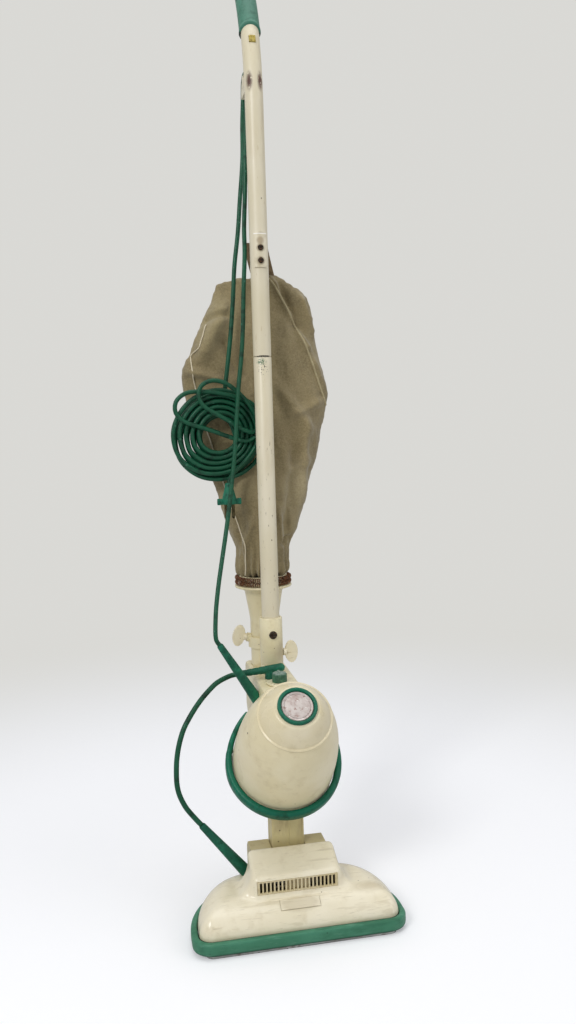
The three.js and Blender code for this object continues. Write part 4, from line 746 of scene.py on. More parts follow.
cover = combined(cover, bare("flank", flank), "UNION")
cover = bare("cover", evened(cover, COVER_GRAIN))
flare = cover.vertex_groups.new(name="flare")
soft = cover.vertex_groups.new(name="soft")
for vertex in cover.data.vertices:
    x, y, z = vertex.co
    beside = max(0.0, 1 - abs(abs(x) - FLARE_AT) / FLARE_WIDE) if y > -HUMP_FRONT - 0.004 else 0.0
    height = max(0.0, min(1.0, (FLARE_TOP - z) / FLARE_FADE))
    flare.add([vertex.index], min(1.0, FLARE_PULL * beside) * height if z > FLARE_LOW else 0.0, "REPLACE")
    soft.add([vertex.index], 1.0 if z > SEAM + 0.002 else 0.0, "REPLACE")
for name, rounds in (("soft", 5), ("flare", 90), ("soft", 3)):
    ease = cover.modifiers.new(name, "SMOOTH")
    ease.vertex_group = name
    ease.factor = 0.5
    ease.iterations = rounds
cut_open = bmesh.new()
cut_open.from_mesh(settled(cover))
geometry = cut_open.verts[:] + cut_open.edges[:] + cut_open.faces[:]
bmesh.ops.bisect_plane(cut_open, geom=geometry, plane_co=(0, 0, SEAM), plane_no=(0, 0, 1), clear_inner=True)
cover = bare("cover", cut_open)
thick = cover.modifiers.new("thick", "SOLIDIFY")
thick.thickness = COVER_WALL
thick.offset = -1
cover = bare("cover", settled(cover))
openings = block(
    bmesh.new(), (-GRILLE_HALF - FIT, -HUMP_FRONT - 0.004, GRILLE_LOW - FIT),
    (GRILLE_HALF + FIT, -HUMP_FRONT + 0.006, GRILLE_TOP + FIT),
)
block(openings, (-OPEN_HALF, OPEN_FROM, OPEN_LOW), (OPEN_HALF, 0.04, 0.1))
cover = combined(cover, bare("openings", openings), "DIFFERENCE")
label_low, label_high = rounding(45), rounding(60)
label_lean = math.atan2(label_high[1] - label_low[1], label_high[0] - label_low[0])
label_in, label_z = ((low + high) / 2 for low, high in zip(label_low, label_high))
label_middle = Vector((0, -HEAD_FRONT + COVER_BASE + label_in, label_z))
pocket = block(
    bmesh.new(), (-LABEL_HALF - FIT, -LABEL_DEEP / 2 - FIT, -LABEL_CUT),
    (LABEL_HALF + FIT, LABEL_DEEP / 2 + FIT, 0.008),
)
pocket.transform(Matrix.Translation(label_middle) @ Matrix.Rotation(label_lean, 4, "X"))
cover = combined(cover, bare("pocket", pocket), "DIFFERENCE")
cover_mesh = cover.data
bpy.data.objects.remove(cover)


def cream(name, colour, pale, dirt, rough):
    """Cream moulding or enamel: faint clouds, small brown specks and fine scratches."""
    return (
        Finish(name, colour, rough)
        .clouds(0.06, 0.35, 0.7, pale, rough + 0.05)
        .clouds(0.02, 0.5, 0.78, dirt, rough + 0.12, seed=3, weight=0.45)
        .marks(0.012, 0.075, 0.35, "6d5b41", 0.6, -0.00006, seed=1, weight=0.8)
        .marks(0.03, 0.05, 0.5, "3e3226", 0.6, -0.0001, seed=5, weight=0.9)
        .clouds(0.004, 0.66, 0.72, dirt, 0.5, -0.00004, stretch=(9, 0.25, 0.5), seed=6, weight=0.7)
        .clouds(0.0025, 0.4, 0.6, rise=0.00003, seed=2)
    )


head_cream = (
    cream("head_cream", "ebe1c4", "f2e9d0", "cfc19e", 0.17)
    .clouds(0.012, 0.6, 0.68, "bdaf8c", 0.45, -0.00005, stretch=(5, 0.5, 1), seed=12, weight=0.3)
    .clouds(0.003, 0.64, 0.7, "8c7b5c", 0.5, stretch=(7, 0.3, 0.6), seed=15, weight=0.35)
    # painted shade: the foot of the cover, along the bumper, is darkened
    .rising("Z", 0.023, 0.0175, "b5a888", 0.5, weight=0.4)
    .spot(label_middle, (0.028, 0.011, 0.012), 0.4, "c4b797", 0.5, weight=0.5)
    # painted shade: a darker patch on the cover at the right of the hump's front
    .spot((0.086, -0.066, 0.047), (0.03, 0.012, 0.02), 0.9, "b9a987", 0.5, weight=0.5)
    .done()
)
made("cover_shell", cover_mesh, head_cream, "cream_shell", ["head_cover"], 40, body="head")
dressed("inspection_plate", head_cream, "cream_shell", 0.0006)

# ------------------------------------------------------------ air grille of the brush motor
# A tan moulding set in the hump's face: twenty upright slots. A light baffle stands behind the
# middle slots, and the others open on the dark inside.

tan_moulding = (
    Finish("tan_moulding", "cfc095", 0.42)
    .clouds(0.04, 0.38, 0.7, "d6c9a5", 0.5)
    .clouds(0.012, 0.5, 0.75, "a89568", 0.6, seed=4, weight=0.6)
    .marks(0.01, 0.12, 0.4, "5d4d33", 0.65, -0.00005, seed=2)
    .clouds(0.002, 0.35, 0.65, rise=0.00005, seed=7)
    .done()
)
dressed("vent_grille", tan_moulding, "tan_moulding", 0.0004)
BAFFLE_HALF, BAFFLE_FACE, BAFFLE_BACK = 0.0145, -HUMP_FRONT + 0.0042, -HUMP_FRONT + 0.0055
baffle = block(bmesh.new(), (-BAFFLE_HALF, BAFFLE_FACE, GRILLE_LOW), (BAFFLE_HALF, BAFFLE_BACK, GRILLE_TOP))
made("grille_baffle", baffle, tan_moulding, "tan_moulding", [], body="head")

# ------------------------------------------------------------ hinge yoke and neck
# Tan mouldings: a yoke with two ears behind the hump, and the flat suction neck that swings in it
# and leads up to the fan. The neck has a raised rib down its middle and one at its right edge.

neck_tan = (
    Finish("neck_tan", "cdbf88", 0.4)
    .clouds(0.05, 0.38, 0.7, "d6c998", 0.44)
    .clouds(0.012, 0.5, 0.72, "b09f76", 0.55, stretch=(1, 1, 3), seed=5, weight=0.6)
    # painted shade: the neck and the yoke's ears darken towards their foot behind the hump
    .rising("Z", 0.1, 0.07, "a2936f", 0.55, weight=0.45)
    .marks(0.012, 0.1, 0.4, "56462f", 0.65, -0.00005, seed=2)
    .clouds(0.002, 0.35, 0.65, rise=0.00005, seed=7)
    .done()
)
dressed("hinge_yoke", neck_tan, "tan_moulding", 0.0015)
dressed("neck_duct", neck_tan, "tan_moulding", 0.0018)
RIB_FACE, RIB_LOW, RIB_TOP = -0.0119, 76, 145
ribs = bmesh.new()
for x, wide in ((0.001, 0.0009), (0.0176, 0.0007)):
    swept(ribs, [Vector((x, RIB_FACE, z / 1000)) for z in range(RIB_LOW, RIB_TOP + 1)], wide, 12)
made("neck_ribs", ribs, neck_tan, "tan_moulding", [], body="upper_body")

# ------------------------------------------------------------ motor unit
# The fan casing, the egg-shaped housing and its cap are cream mouldings on one axis that leans
# 45 degrees to the front. The cap's rim stands out as a fine line round the egg. The motor is inside.

LEANING = Matrix.Translation((0, 0.0027, 0.1804)) @ Matrix.Rotation(math.radians(45), 4, "X")
EGG_R, EGG_LONG, EGG_POWER = 0.0615, 0.145, 2.4
CAP_AT, CAP_FLAT, EGG_WALL = 0.112, 0.134, 0.0025


def egg(s, grow=0.0):
    """The egg's radius at a place on its axis."""
    return EGG_R * math.sqrt(max(0.0, 1 - (max(0.0, s) / EGG_LONG) ** EGG_POWER)) + grow


def turned(profile, place=Matrix(), sides=112):
    """A surface of revolution from pairs of radius and height, set in its place."""
    mesh = bmesh.new()
    loop = profile[0] == profile[-1]
    rings = []
    for r, z in profile[:-1] if loop else profile:
        angles = circle(sides) if r > 1e-6 else [0]
        rings.append([Vector((r * math.cos(a), r * math.sin(a), z)) for a in angles])
    bridged(mesh, rings, loop=loop)
    mesh.transform(place)
    return mesh


egg_cream = (
    cream("egg_cream", "e6d9b2", "ede2c0", "c9b88e", 0.3)
    # painted highlight: a paler patch on the upper left front of the egg
    .spot((-0.03, -0.05, 0.21), (0.03, 0.03, 0.03), 0.9, "e8dfc6", 0.34, weight=0.5)
    .done()
)
cap_cream = cream("cap_cream", "ddd0ab", "e4d9bb", "c2b48c", 0.26).done()
shell_cream = (
    cream("shell_cream", "e0d4ac", "e8deba", "bfae82", 0.32)
    .spot((0.012, 0.052, 0.3), (0.02, 0.02, 0.02), 0.8, "a89b7f", 0.5, weight=0.5)
    .done()
)

housing = [(egg(s), s) for s in run(0, CAP_AT - 0.0004, 40)] + [(egg(CAP_AT, -EGG_WALL), CAP_AT - 0.0004)]
housing += [(egg(s, -EGG_WALL), s) for s in run(CAP_AT - 0.003, 0, 20)] + [(egg(0), 0)]
made("egg_housing", turned(housing, LEANING), egg_cream, "cream_shell", ["motor_housing"])
rim = egg(CAP_AT)
cap = [(0, CAP_FLAT - EGG_WALL)] + [(egg(s, -EGG_WALL), s) for s in run(CAP_FLAT - EGG_WALL, CAP_AT, 8)]
rim_steps = ((0.0008, 0), (0.0012, 0.0004), (0.0012, 0.0011), (0.0006, 0.0017))
cap += [(rim + out, CAP_AT + up) for out, up in rim_steps]
cap += [(egg(s), s) for s in run(CAP_AT + 0.0022, CAP_FLAT - 0.0006, 14)]
cap += [(egg(CAP_FLAT) - 0.0006, CAP_FLAT), (0, CAP_FLAT)]
made("egg_cap", turned(cap, LEANING), cap_cream, "cream_shell", ["motor_cap"])
dressed("fan_casing", egg_cream, "cream_shell", 0.0012, 50)
dressed("housing_spine", shell_cream, "cream_shell", 0.0016, 50)

for inside in ("bearing_plate", "lower_bearing", "upper_bearing", "fan_impeller"):
    dressed(inside, bare_steel, "bare_steel", 0)
for inside in ("brush_plate", "carbon_brush_left", "carbon_brush_right"):
    dressed(inside, moulded_black, "moulded_black", 0.0003)
stator_steel = (
    Finish("stator_steel", "57534e", 0.5, Metallic=1.0)
    .clouds(0.0007, 0.35, 0.65, "34312d", 0.6, 0.00005, stretch=(20, 1, 1))
    .done()
)
dressed("stator", stator_steel, "dark_steel", 0.0003)
winding = (
    Finish("winding_copper", "a9653c", 0.4, Metallic=1.0)
    .clouds(0.0008, 0.35, 0.65, "6f3d22", 0.5, 0.00008, stretch=(6, 1, 1))
    .done()
)
dressed("armature", winding, "bare_steel", 0.0003)

# ------------------------------------------------------------ motor bumper and badge
# A deep green moulded bumper clipped round the foot of the egg, its two ends climbing towards
# the spine. The cap carries a bare metal disc in a green ring.

RING_R, RING_LOW, RING_HIGH, RING_RISE = 0.0712, -0.012, 0.004, 0.042
RING_SWEEP, RING_GAP, RING_THIN, CASING_R = math.radians(142), 0.0005, 0.55, 0.062
green_moulding = (
    Finish("green_moulding", "045a44", 0.32, Specular_IOR_Level=0.25)
    .clouds(0.05, 0.36, 0.7, "0c6a50", 0.36)
    .clouds(0.01, 0.52, 0.74, "0a4834", 0.55, stretch=(1, 1, 2), seed=5)
    .clouds(0.003, 0.62, 0.7, "3a8268", 0.55, stretch=(5, 1, 0.4), seed=8, weight=0.4)
    .marks(0.009, 0.07, 0.3, "9fb3a2", 0.6, weight=0.7)
    .clouds(0.002, 0.35, 0.65, rise=0.00006, seed=1)
    .done()
)
ring_loops = []
for step in run(-1, 1, 150):
    turn = step * RING_SWEEP
    climb = max(0.0, min(1.0, (abs(turn) - 0.5 * RING_SWEEP) / (0.65 * RING_SWEEP)))
    climb = climb * climb * (3 - 2 * climb)
    thin = 1 - RING_THIN * climb
    half = (RING_HIGH - RING_LOW) / 2 * thin
    middle = (RING_HIGH + RING_LOW) / 2 + climb * RING_RISE
    inner = (CASING_R if middle - half < 0.0003 else egg(middle - half)) + RING_GAP
    thick = (RING_R - CASING_R - RING_GAP) * thin
    tip = min(1.0, (1 - abs(step)) / 0.012) ** 0.5 * 0.95 + 0.05
    loop = []
    for a in circle(28):
        out, high = squared(a, 0.72)
        r = inner + thick / 2 * (1 + out * tip)
        loop.append(Vector((r * math.sin(turn), -r * math.cos(turn), middle + half * high * tip)))
    ring_loops.append(loop)
ring = bridged(bmesh.new(), ring_loops)
ring.transform(LEANING)
made("motor_ring", ring, green_moulding, "green_moulding", ["motor_bumper"], 60)

BADGE_LOW = CAP_FLAT + 0.0003
ring_wall = [
    (0.0182, 0), (0.0223, 0), (0.0223, 0.0028), (0.0217, 0.0037), (0.0206, 0.004), (0.0192, 0.0037),
    (0.0184, 0.0028), (0.0182, 0),
]
ring_wall = [(r, BADGE_LOW + up) for r, up in ring_wall]
made("badge_rim", turned(ring_wall, LEANING), green_moulding, "green_moulding", ["badge_ring"])
badge_metal = (
    Finish("badge_metal", "b8b0ac", 0.38, Metallic=0.65)
    .clouds(0.01, 0.4, 0.7, "a1918c", 0.46)
    .clouds(0.004, 0.55, 0.72, "8b6f66", 0.55, seed=4)
    .marks(0.004, 0.16, 0.3, "d8d6d2", 0.3, seed=2)
    .clouds(0.0012, 0.35, 0.65, rise=0.00005, seed=6)
    .done()
)
disc = [
    (0, 0), (0.0179, 0), (0.0179, 0.0013), (0.0172, 0.0019), (0.015, 0.0016), (0.0146, 0.0019),
    (0.0142, 0.0016), (0.008, 0.0018), (0, 0.0019),
]
disc = [(r, BADGE_LOW + up) for r, up in disc]
made("badge_plate", turned(disc, LEANING), badge_metal, "badge_metal", ["badge_disc"])

# ------------------------------------------------------------ dial, knob and connector plug
# On top of the spine: a cream dial with dark marks, a green knob with a paler top, and the
# moulded green plug of the brush motor's cable.

DIAL = Vector((0, 0.0125, 0.272))
dial_cream = cream("dial_cream", "e0d5b0", "e8dec0", "a99b7c", 0.32)
MARKS_OUT, MARK_SIZE = 0.0132, (0.0008, 0.0008, 0.002)
for mark in range(-150, -29, 20):
    turn = math.radians(mark)
    spot = DIAL + Vector((MARKS_OUT * math.cos(turn), MARKS_OUT * math.sin(turn), 0.0023))
    dial_cream.spot(spot, MARK_SIZE, 0.2, "3a332a", 0.5)
dial = [
    (0.0033, 0.0003), (0.0152, 0.0003), (0.016, 0.001), (0.0158, 0.0021), (0.0154, 0.0023), (0.0033, 0.0023),
    (0.0033, 0.0003),
]
dial_face = turned(dial, Matrix.Translation(DIAL))
made("dial_face", dial_face, dial_cream.done(), "cream_shell", ["dial_plate"])
RIB_DEEP, RIB_COUNT = 0.0002, 24
knob_rings = []
for radius, high, ribbed in (
    (0.003, -0.008, 0), (0.003, 0.0026, 0), (0.0088, 0.0026, 0), (0.009, 0.0034, 1), (0.009, 0.0112, 1),
    (0.0086, 0.0124, 0.6), (0.0075, 0.0136, 0), (0.004, 0.0138, 0),
):
    ring = []
    for a in circle(192):
        r = radius + RIB_DEEP * ribbed * math.cos(RIB_COUNT * a) - RIB_DEEP * ribbed
        ring.append(DIAL + Vector((r * math.cos(a), r * math.sin(a), high)))
    knob_rings.append(ring)
knob = bridged(bmesh.new(), knob_rings)
POINTER = Vector((0.0014, 0.0078, 0))
pointer_low, pointer_high = DIAL - POINTER + Vector((0, 0, 0.0126)), DIAL + POINTER + Vector((0, 0, 0.0148))
pointer = block(bmesh.new(), pointer_low, pointer_high)
bmesh.ops.bevel(pointer, geom=pointer.edges[:], offset=0.0005, segments=3, affect="EDGES", profile=0.5)
pointer_mesh = bpy.data.meshes.new("pointer")
pointer.to_mesh(pointer_mesh)
pointer.free()
knob.from_mesh(pointer_mesh)
knob_green = (
    Finish("knob_green", "28533c", 0.42)
    .clouds(0.006, 0.4, 0.65, "3f6f52", 0.45)
    .rising("Z", DIAL.z + 0.0118, DIAL.z + 0.0138, "8fa198", 0.55, weight=0.75)
    .clouds(0.002, 0.5, 0.7, "124a36", 0.6, seed=3)
    .clouds(0.001, 0.35, 0.65, rise=0.00005, seed=5)
    .done()
)
made("dial_knob", knob, knob_green, "green_moulding", ["switch_knob"])

LINK_FROM, LINK_WIDE, LINK_THIN, LINK_RIPPLE = -0.09, 5.4, 3.9, 0.35
link_places = run(LINK_FROM, 1.0, 40)
link_line = [(link_right + (link_left - link_right) * t) / 1000 for t in link_places]
link_radii = []
for t in link_places:
    ripple = LINK_RIPPLE * max(0.0, math.cos(t * 14 * math.pi)) if 0.5 < t < 0.97 else 0
    nose = math.sqrt(max(0.02, 1 - min(1.0, max(0.0, (0.02 - t) / 0.11)) ** 2))
    link_radii.append((LINK_WIDE * nose + (LINK_THIN - LINK_WIDE) * max(0.0, t) - ripple) / 1000)
link_plug = swept(bmesh.new(), link_line, link_radii, 32)
socket = ((0.2723, 0.0054), (0.2727, 0.0057), (0.276, 0.0055), (0.2805, 0.0054), (0.2825, 0.005))
swept(link_plug, [Vector((-0.008, 0.037, z)) for z, _ in socket], [r for _, r in socket], 32)
made("link_plug", link_plug, relief_rubber, "green_moulding", ["connector_plug"])

# ------------------------------------------------------------ exhaust pipe, clamp and funnel
# A short enamelled pipe behind the tube carries the bag's funnel. A clamp band with an ivory
# wing screw holds them, and a rusty spring collar closes the bag's mouth over the funnel.

PIPE_Y = 0.1105
ON_PIPE = Matrix.Translation((0, PIPE_Y, 0))
dressed("exhaust_pipe", shell_cream, "cream_enamel", 0)
dressed("pipe_clamp", shell_cream, "cream_shell", 0.0008)
funnel = [
    (0.017, 0.3033), (0.0182, 0.3033), (0.0185, 0.3038), (0.0185, 0.332), (0.0187, 0.3335), (0.02, 0.3425),
    (0.0225, 0.358), (0.0245, 0.3692), (0.0268, 0.3722), (0.0345, 0.3745), (0.0363, 0.3752), (0.0368, 0.376),
    (0.0368, 0.3772), (0.0362, 0.378), (0.0308, 0.378), (0.0308, 0.3905), (0.0293, 0.3905), (0.0293, 0.3762),
    (0.0235, 0.3745), (0.0217, 0.358), (0.019, 0.3425), (0.017, 0.333), (0.017, 0.3033),
]
made("funnel_shell", turned(funnel, ON_PIPE), shell_cream, "cream_shell", ["bag_funnel"])

ivory = cream("ivory", "e2d6b2", "e9dfc2", "a8956b", 0.38)
# painted highlight: the proud edges of the wing screws are paler
ivory.lay(ivory.edges(), "efe7d0", 0.4, weight=0.5)
ivory = ivory.done()
dressed("clamp_wing_screw", ivory, "ivory_moulding", 0.0012)
dressed("sleeve_wing_screw", ivory, "ivory_moulding", 0.0012)

rusty = (
    Finish("rusty_spring", "6e4a33", 0.8, Metallic=0.35)
    .clouds(0.004, 0.4, 0.65, "8a5a3a", 0.85, 0.00008)
    .clouds(0.002, 0.5, 0.7, "35271d", 0.9, seed=4)
    .clouds(0.006, 0.56, 0.72, "a89c8c", 0.5, seed=9)
    .done()
)
SPRING_R, SPRING_COIL_R, SPRING_WIRE_R = 0.0340, 0.0024, 0.00055
SPRING_TURNS, SPRING_STEPS = 84, 10
spring = bmesh.new()
for height in (0.3818, 0.3875):
    wire = []
    for k in range(SPRING_TURNS * SPRING_STEPS):
        pipe_turn, wire_turn = 2 * math.pi * k / (SPRING_TURNS * SPRING_STEPS), 2 * math.pi * k / SPRING_STEPS
        out = SPRING_R + SPRING_COIL_R * math.cos(wire_turn)
        high = height + SPRING_COIL_R * math.sin(wire_turn)
        wire.append(Vector((out * math.cos(pipe_turn), PIPE_Y + out * math.sin(pipe_turn), high)))
    swept(spring, wire, SPRING_WIRE_R, 6, closed=True)
made("spring_collar", spring, rusty, "rusty_spring", ["bag_collar"], 80)

# ------------------------------------------------------------ tube, sleeve and hook plates
# Cream enamelled steel: a lower tube in a moulded sleeve on the spine, and an upper tube that
# plugs into it and bends back to the grip. The enamel is chipped, worn and stained in places.

TUBE_Y, TUBE_R, JOINT_Z, BEND_Z, BEND_R = 0.062, 0.011, 0.6658, 0.964, 0.250
GRIP_TO = math.radians(44.5)
ON_TUBE = Matrix.Translation((0, TUBE_Y, 0))
enamel = (
    Finish("cream_enamel", "d5cbae", 0.42, Coat_Weight=0.12, Coat_Roughness=0.25)
    .clouds(0.07, 0.36, 0.7, "ddd4bc", 0.4, stretch=(1, 1, 2))
    .clouds(0.02, 0.5, 0.76, "c8bb9d", 0.38, stretch=(1, 1, 4), seed=3, weight=0.5)
    .clouds(0.006, 0.64, 0.7, "c2b28f", 0.4, stretch=(0.7, 0.7, 4), seed=8, weight=0.6)
)
low_tube = enamel.along("Z", 0.62, 0.56)
dots = enamel.both(enamel.specks(0.006, 0.16, 0.32, (1, 1, 2.5), seed=4), low_tube)
enamel.lay(dots, "8a7a5e", 0.5, -0.00005, weight=0.35)
streaks = enamel.both(enamel.grain(0.0026, 0.655, 0.69, (1, 1, 4.5), seed=9), low_tube)
enamel.lay(streaks, "6f604a", 0.55, -0.00006, weight=0.7)
enamel.marks(0.016, 0.07, 0.4, "5b4b36", 0.6, -0.00008, stretch=(1, 1, 1.5), seed=2)
for side, x in ((-1, -0.0062), (1, 0.0066)):
    worn = enamel.near((x, 0.055, 0.9865), (0.0050, 0.012, 0.0150), 0.8)
    flaky = enamel.grain(0.0034, 0.36, 0.4, (1, 1, 1.3), seed=11 + side)
    enamel.lay(enamel.both(worn, flaky), "4a2a20", 0.65, -0.0001)
    enamel.lay(enamel.both(worn, enamel.grain(0.0012, 0.56, 0.62, seed=21)), "7d5540", 0.7)
chips = enamel.near((-0.001, 0.051, 0.6515), (0.010, 0.01, 0.013), 0.7)
enamel.lay(enamel.both(chips, enamel.grain(0.0014, 0.6, 0.65, (1, 1, 1.4), seed=14)), "2c2620", 0.6, -0.0001)
stain = enamel.near((-0.003, 0.051, 0.6595), (0.008, 0.01, 0.005), 0.6)
enamel.lay(enamel.both(stain, enamel.grain(0.002, 0.42, 0.52, seed=6)), "3f6646", 0.55, weight=0.85)
cracked = enamel.near((0, 0.051, 0.6658), (0.013, 0.012, 0.0016), 0.5)
cracks = enamel.both(cracked, enamel.grain(0.0018, 0.38, 0.5, (1, 1, 0.6), seed=19))
enamel.lay(cracks, "2a231c", 0.6, -0.0001)
enamel.spot((0.0015, 0.05, 0.8085), (0.007, 0.012, 0.006), 0.7, "7f6b4d", 0.5, weight=0.55)
enamel.clouds(0.0022, 0.4, 0.6, rise=0.00002, seed=12)
enamel = enamel.done()

TUBE_BORE, SPIGOT_R, RIM_EASE = 0.0098, 0.0095, 0.0006
lower = [
    (TUBE_BORE, 0.3183), (TUBE_R, 0.3183), (TUBE_R, JOINT_Z - 0.0009), (0.0107, JOINT_Z - 0.0003),
    (TUBE_BORE, JOINT_Z - 0.0002), (TUBE_BORE, 0.3183),
]
made("tube_lower", turned(lower, ON_TUBE), enamel, "cream_enamel", ["lower_tube"])


def on_bend(angle):
    """A point on the bend's line."""
    return Vector((0, TUBE_Y + BEND_R * (1 - math.cos(angle)), BEND_Z + BEND_R * math.sin(angle)))


upper_line = [Vector((0, TUBE_Y, z)) for z in run(JOINT_Z + 0.0003, BEND_Z, 12)]
upper_line += [on_bend(angle) for angle in run(0, GRIP_TO - 0.035, 44)[1:]]
upper_line.insert(1, upper_line[0] + Vector((0, 0, 0.0007)))
upper_radii = [TUBE_R - RIM_EASE, *[TUBE_R] * (len(upper_line) - 1)]
tube = swept(bmesh.new(), upper_line, upper_radii, 72)
swept(tube, [Vector((0, TUBE_Y, z)) for z in (JOINT_Z - 0.026, JOINT_Z + 0.002)], SPIGOT_R, 48)
made("tube_upper", tube, enamel, "cream_enamel", ["upper_tube"])
sleeve = [
    (0.0113, 0.285), (0.0138, 0.285), (0.0142, 0.2856), (0.0142, 0.3428), (0.0138, 0.3436), (0.0128, 0.3438),
    (0.0113, 0.3438), (0.0113, 0.285),
]
made("sleeve_shell", turned(sleeve, ON_TUBE), shell_cream, "cream_shell", ["tube_sleeve"])
dressed("sleeve_screw", dark_steel, "dark_steel", 0.0003)
dressed("hook_screw_lower", dark_steel, "dark_steel", 0.0002)
dressed("hook_screw_upper", dark_steel, "dark_steel", 0.0002)
plate_enamel = cream("plate_enamel", "d9cfb3", "e6dfcd", "a3946f", 0.3)
for z in (0.779, 0.794):
    plate_enamel.spot((0, 0.049, z), (0.0062, 0.02, 0.0062), 0.5, "8e7d5c", 0.5, weight=0.7)
plate_enamel.spot((0, 0.049, 0.8025), (0.006, 0.02, 0.006), 0.6, "8c7453", 0.5, weight=0.6)
# painted highlight: the plate's top edge, and all above it, is near white
plate_enamel.rising("Z", 0.8092, 0.8106, "f7f4ec", 0.25)
plate_enamel = plate_enamel.done()
dressed("hook_plate", plate_enamel, "cream_enamel", 0.0004)
dressed("bag_hook", bare_steel, "bare_steel", 0.0003)
dressed("cord_hook", enamel, "cream_enamel", 0.0004)

# ------------------------------------------------------------ grip and latch
# A smooth sea-green rubber grip pulled over the tube's bent end, with a dark rolled rim at its
# mouth. A small brass latch shows in the tube just below.

GRIP_R, GRIP_SKIN, GRIP_FROM = 0.013, 0.0126, math.radians(19.5)
LIP_HIGH, LIP_EASE = 0.0007, 0.0012
MOUTH_SLANT, MOUTH_REACH = 0.006, 0.03
MOUTH_Z = BEND_Z + BEND_R * math.sin(GRIP_FROM)
grip_line, grip_radii = [], []
for t in run(0, 1, 110):
    grip_line.append(on_bend(GRIP_FROM + (GRIP_TO - GRIP_FROM) * t))
    lip = LIP_HIGH * math.exp(-((t - 0.02) / 0.016) ** 2)
    grip_radii.append(GRIP_SKIN + lip - (LIP_EASE if t == 0 else 0))
last, ahead = grip_line[-1], (grip_line[-1] - grip_line[-2]).normalized()
for t in run(0, math.pi / 2, 14)[1:]:
    grip_line.append(last + ahead * GRIP_SKIN * math.sin(t))
    grip_radii.append(max(0.0004, GRIP_SKIN * math.cos(t)))
grip_rubber = (
    Finish("grip_rubber", "356f5b", 0.5)
    .clouds(0.03, 0.38, 0.7, "407c67", 0.48)
    .clouds(0.006, 0.48, 0.72, "2c604d", 0.6, seed=4)
    .rising("Z", MOUTH_Z + 0.0035, MOUTH_Z + 0.001, "20342c", 0.7)
    .clouds(0.0011, 0.35, 0.65, rise=0.00012, seed=2)
    .done()
)
grip_shape = swept(bmesh.new(), grip_line, grip_radii, 64)
mouth, along_bend = grip_line[0], (grip_line[1] - grip_line[0]).normalized()
toward_front = Vector((0, -along_bend.z, along_bend.y))
for vertex in grip_shape.verts:
    past_mouth = (vertex.co - mouth).dot(along_bend)
    front_share = max(0.0, (vertex.co - mouth).dot(toward_front) / GRIP_R)
    if past_mouth < MOUTH_REACH:
        vertex.co += along_bend * MOUTH_SLANT * front_share * (1 - max(0.0, past_mouth) / MOUTH_REACH)
made("grip_sleeve", grip_shape, grip_rubber, "grip_rubber", ["hand_grip"], 60)
latch_brass = (
    Finish("latch_brass", "9a8a45", 0.4, Metallic=0.8)
    .clouds(0.003, 0.42, 0.68, "6e5f30", 0.5, 0.00004)
    .clouds(0.0015, 0.5, 0.7, "b8a866", 0.35, seed=3)
    .done()
)
dressed("grip_latch", latch_brass, "dark_steel", 0.0005)

# ------------------------------------------------------------ dust bag
# A slack taupe twill bag that widens from the spring collar to its shoulders and closes in a
# narrow top. It has a cream-piped seam down its left front, and its mouth is gathered.

BAG_FOOT, BAG_TOP, BAG_GRAIN = 0.3914, 0.772, 0.005
BAG_ROWS, BAG_SIDES, BAG_DRAWN = 76, 120, 0.0022
BAG_HELD_LOW, BAG_HELD_HIGH = 0.008, 0.010
CLOTH_STEPS, CLOTH_MASS, CLOTH_PUFF, CLOTH_REACH = 20, 0.25, 4, 0.0035


def follow(pairs):
    """A smooth run of values through pairs of place and value."""
    def value(at):
        at = max(pairs[0][0], min(pairs[-1][0], at))
        i = max(k for k in range(len(pairs) - 1) if pairs[k][0] <= at)
        (x0, y0), (x1, y1) = pairs[i], pairs[i + 1]
        before, after = pairs[max(i - 1, 0)], pairs[min(i + 2, len(pairs) - 1)]
        slope0 = (y1 - before[1]) / (x1 - before[0])
        slope1 = (after[1] - y0) / (after[0] - x0)
        t, gap = (at - x0) / (x1 - x0), x1 - x0
        return (y0 * (1 + 2 * t) * (1 - t) ** 2 + slope0 * gap * t * (1 - t) ** 2
                + y1 * t * t * (3 - 2 * t) + slope1 * gap * t * t * (t - 1))
    return value


BAG_EDGES = [
    (0.390, -34, 37), (0.410, -34, 39), (0.425, -35, 41), (0.440, -44, 51), (0.467, -53, 58.5),
    (0.520, -69, 76), (0.541, -75, 84), (0.611, -90, 97), (0.630, -94, 96), (0.655, -97, 93),
    (0.680, -89, 88), (0.705, -80, 85), (0.722, -69, 83), (0.738, -57, 77), (0.750, -53, 69.5),
    (0.765, -43.5, 46.5), (0.772, -22, 34),
]
bag_half = follow([(z, (right - left) / 2000) for z, left, right in BAG_EDGES])
bag_across = follow([(z, (right + left) / 2000) for z, left, right in BAG_EDGES])
bag_deep = follow([
    (0.390, 0.036), (0.430, 0.035), (0.515, 0.031), (0.624, 0.028), (0.711, 0.023), (0.748, 0.015),
    (0.772, 0.004),
])
bag_back = follow([(0.390, 0.1105), (0.460, 0.1155), (0.560, 0.1315), (0.660, 0.1315), (0.772, 0.1185)])


def bag_point(z, turn):
    """A place on the skin of the bag before it slackens."""
    return Vector((
        bag_across(z) + (bag_half(z) - BAG_DRAWN) * math.cos(turn),
        bag_back(z) + (bag_deep(z) - BAG_DRAWN) * math.sin(turn), z,
    ))


bag_rings = []
for z in run(BAG_FOOT + 0.0005, BAG_TOP - 0.0005, BAG_ROWS):
    bag_rings.append([bag_point(z, turn) for turn in circle(BAG_SIDES)])
bag = bare("bag", evened(bare("bag", bridged(bmesh.new(), bag_rings)), BAG_GRAIN))
bag_start = np.array([v.co for v in bag.data.vertices])

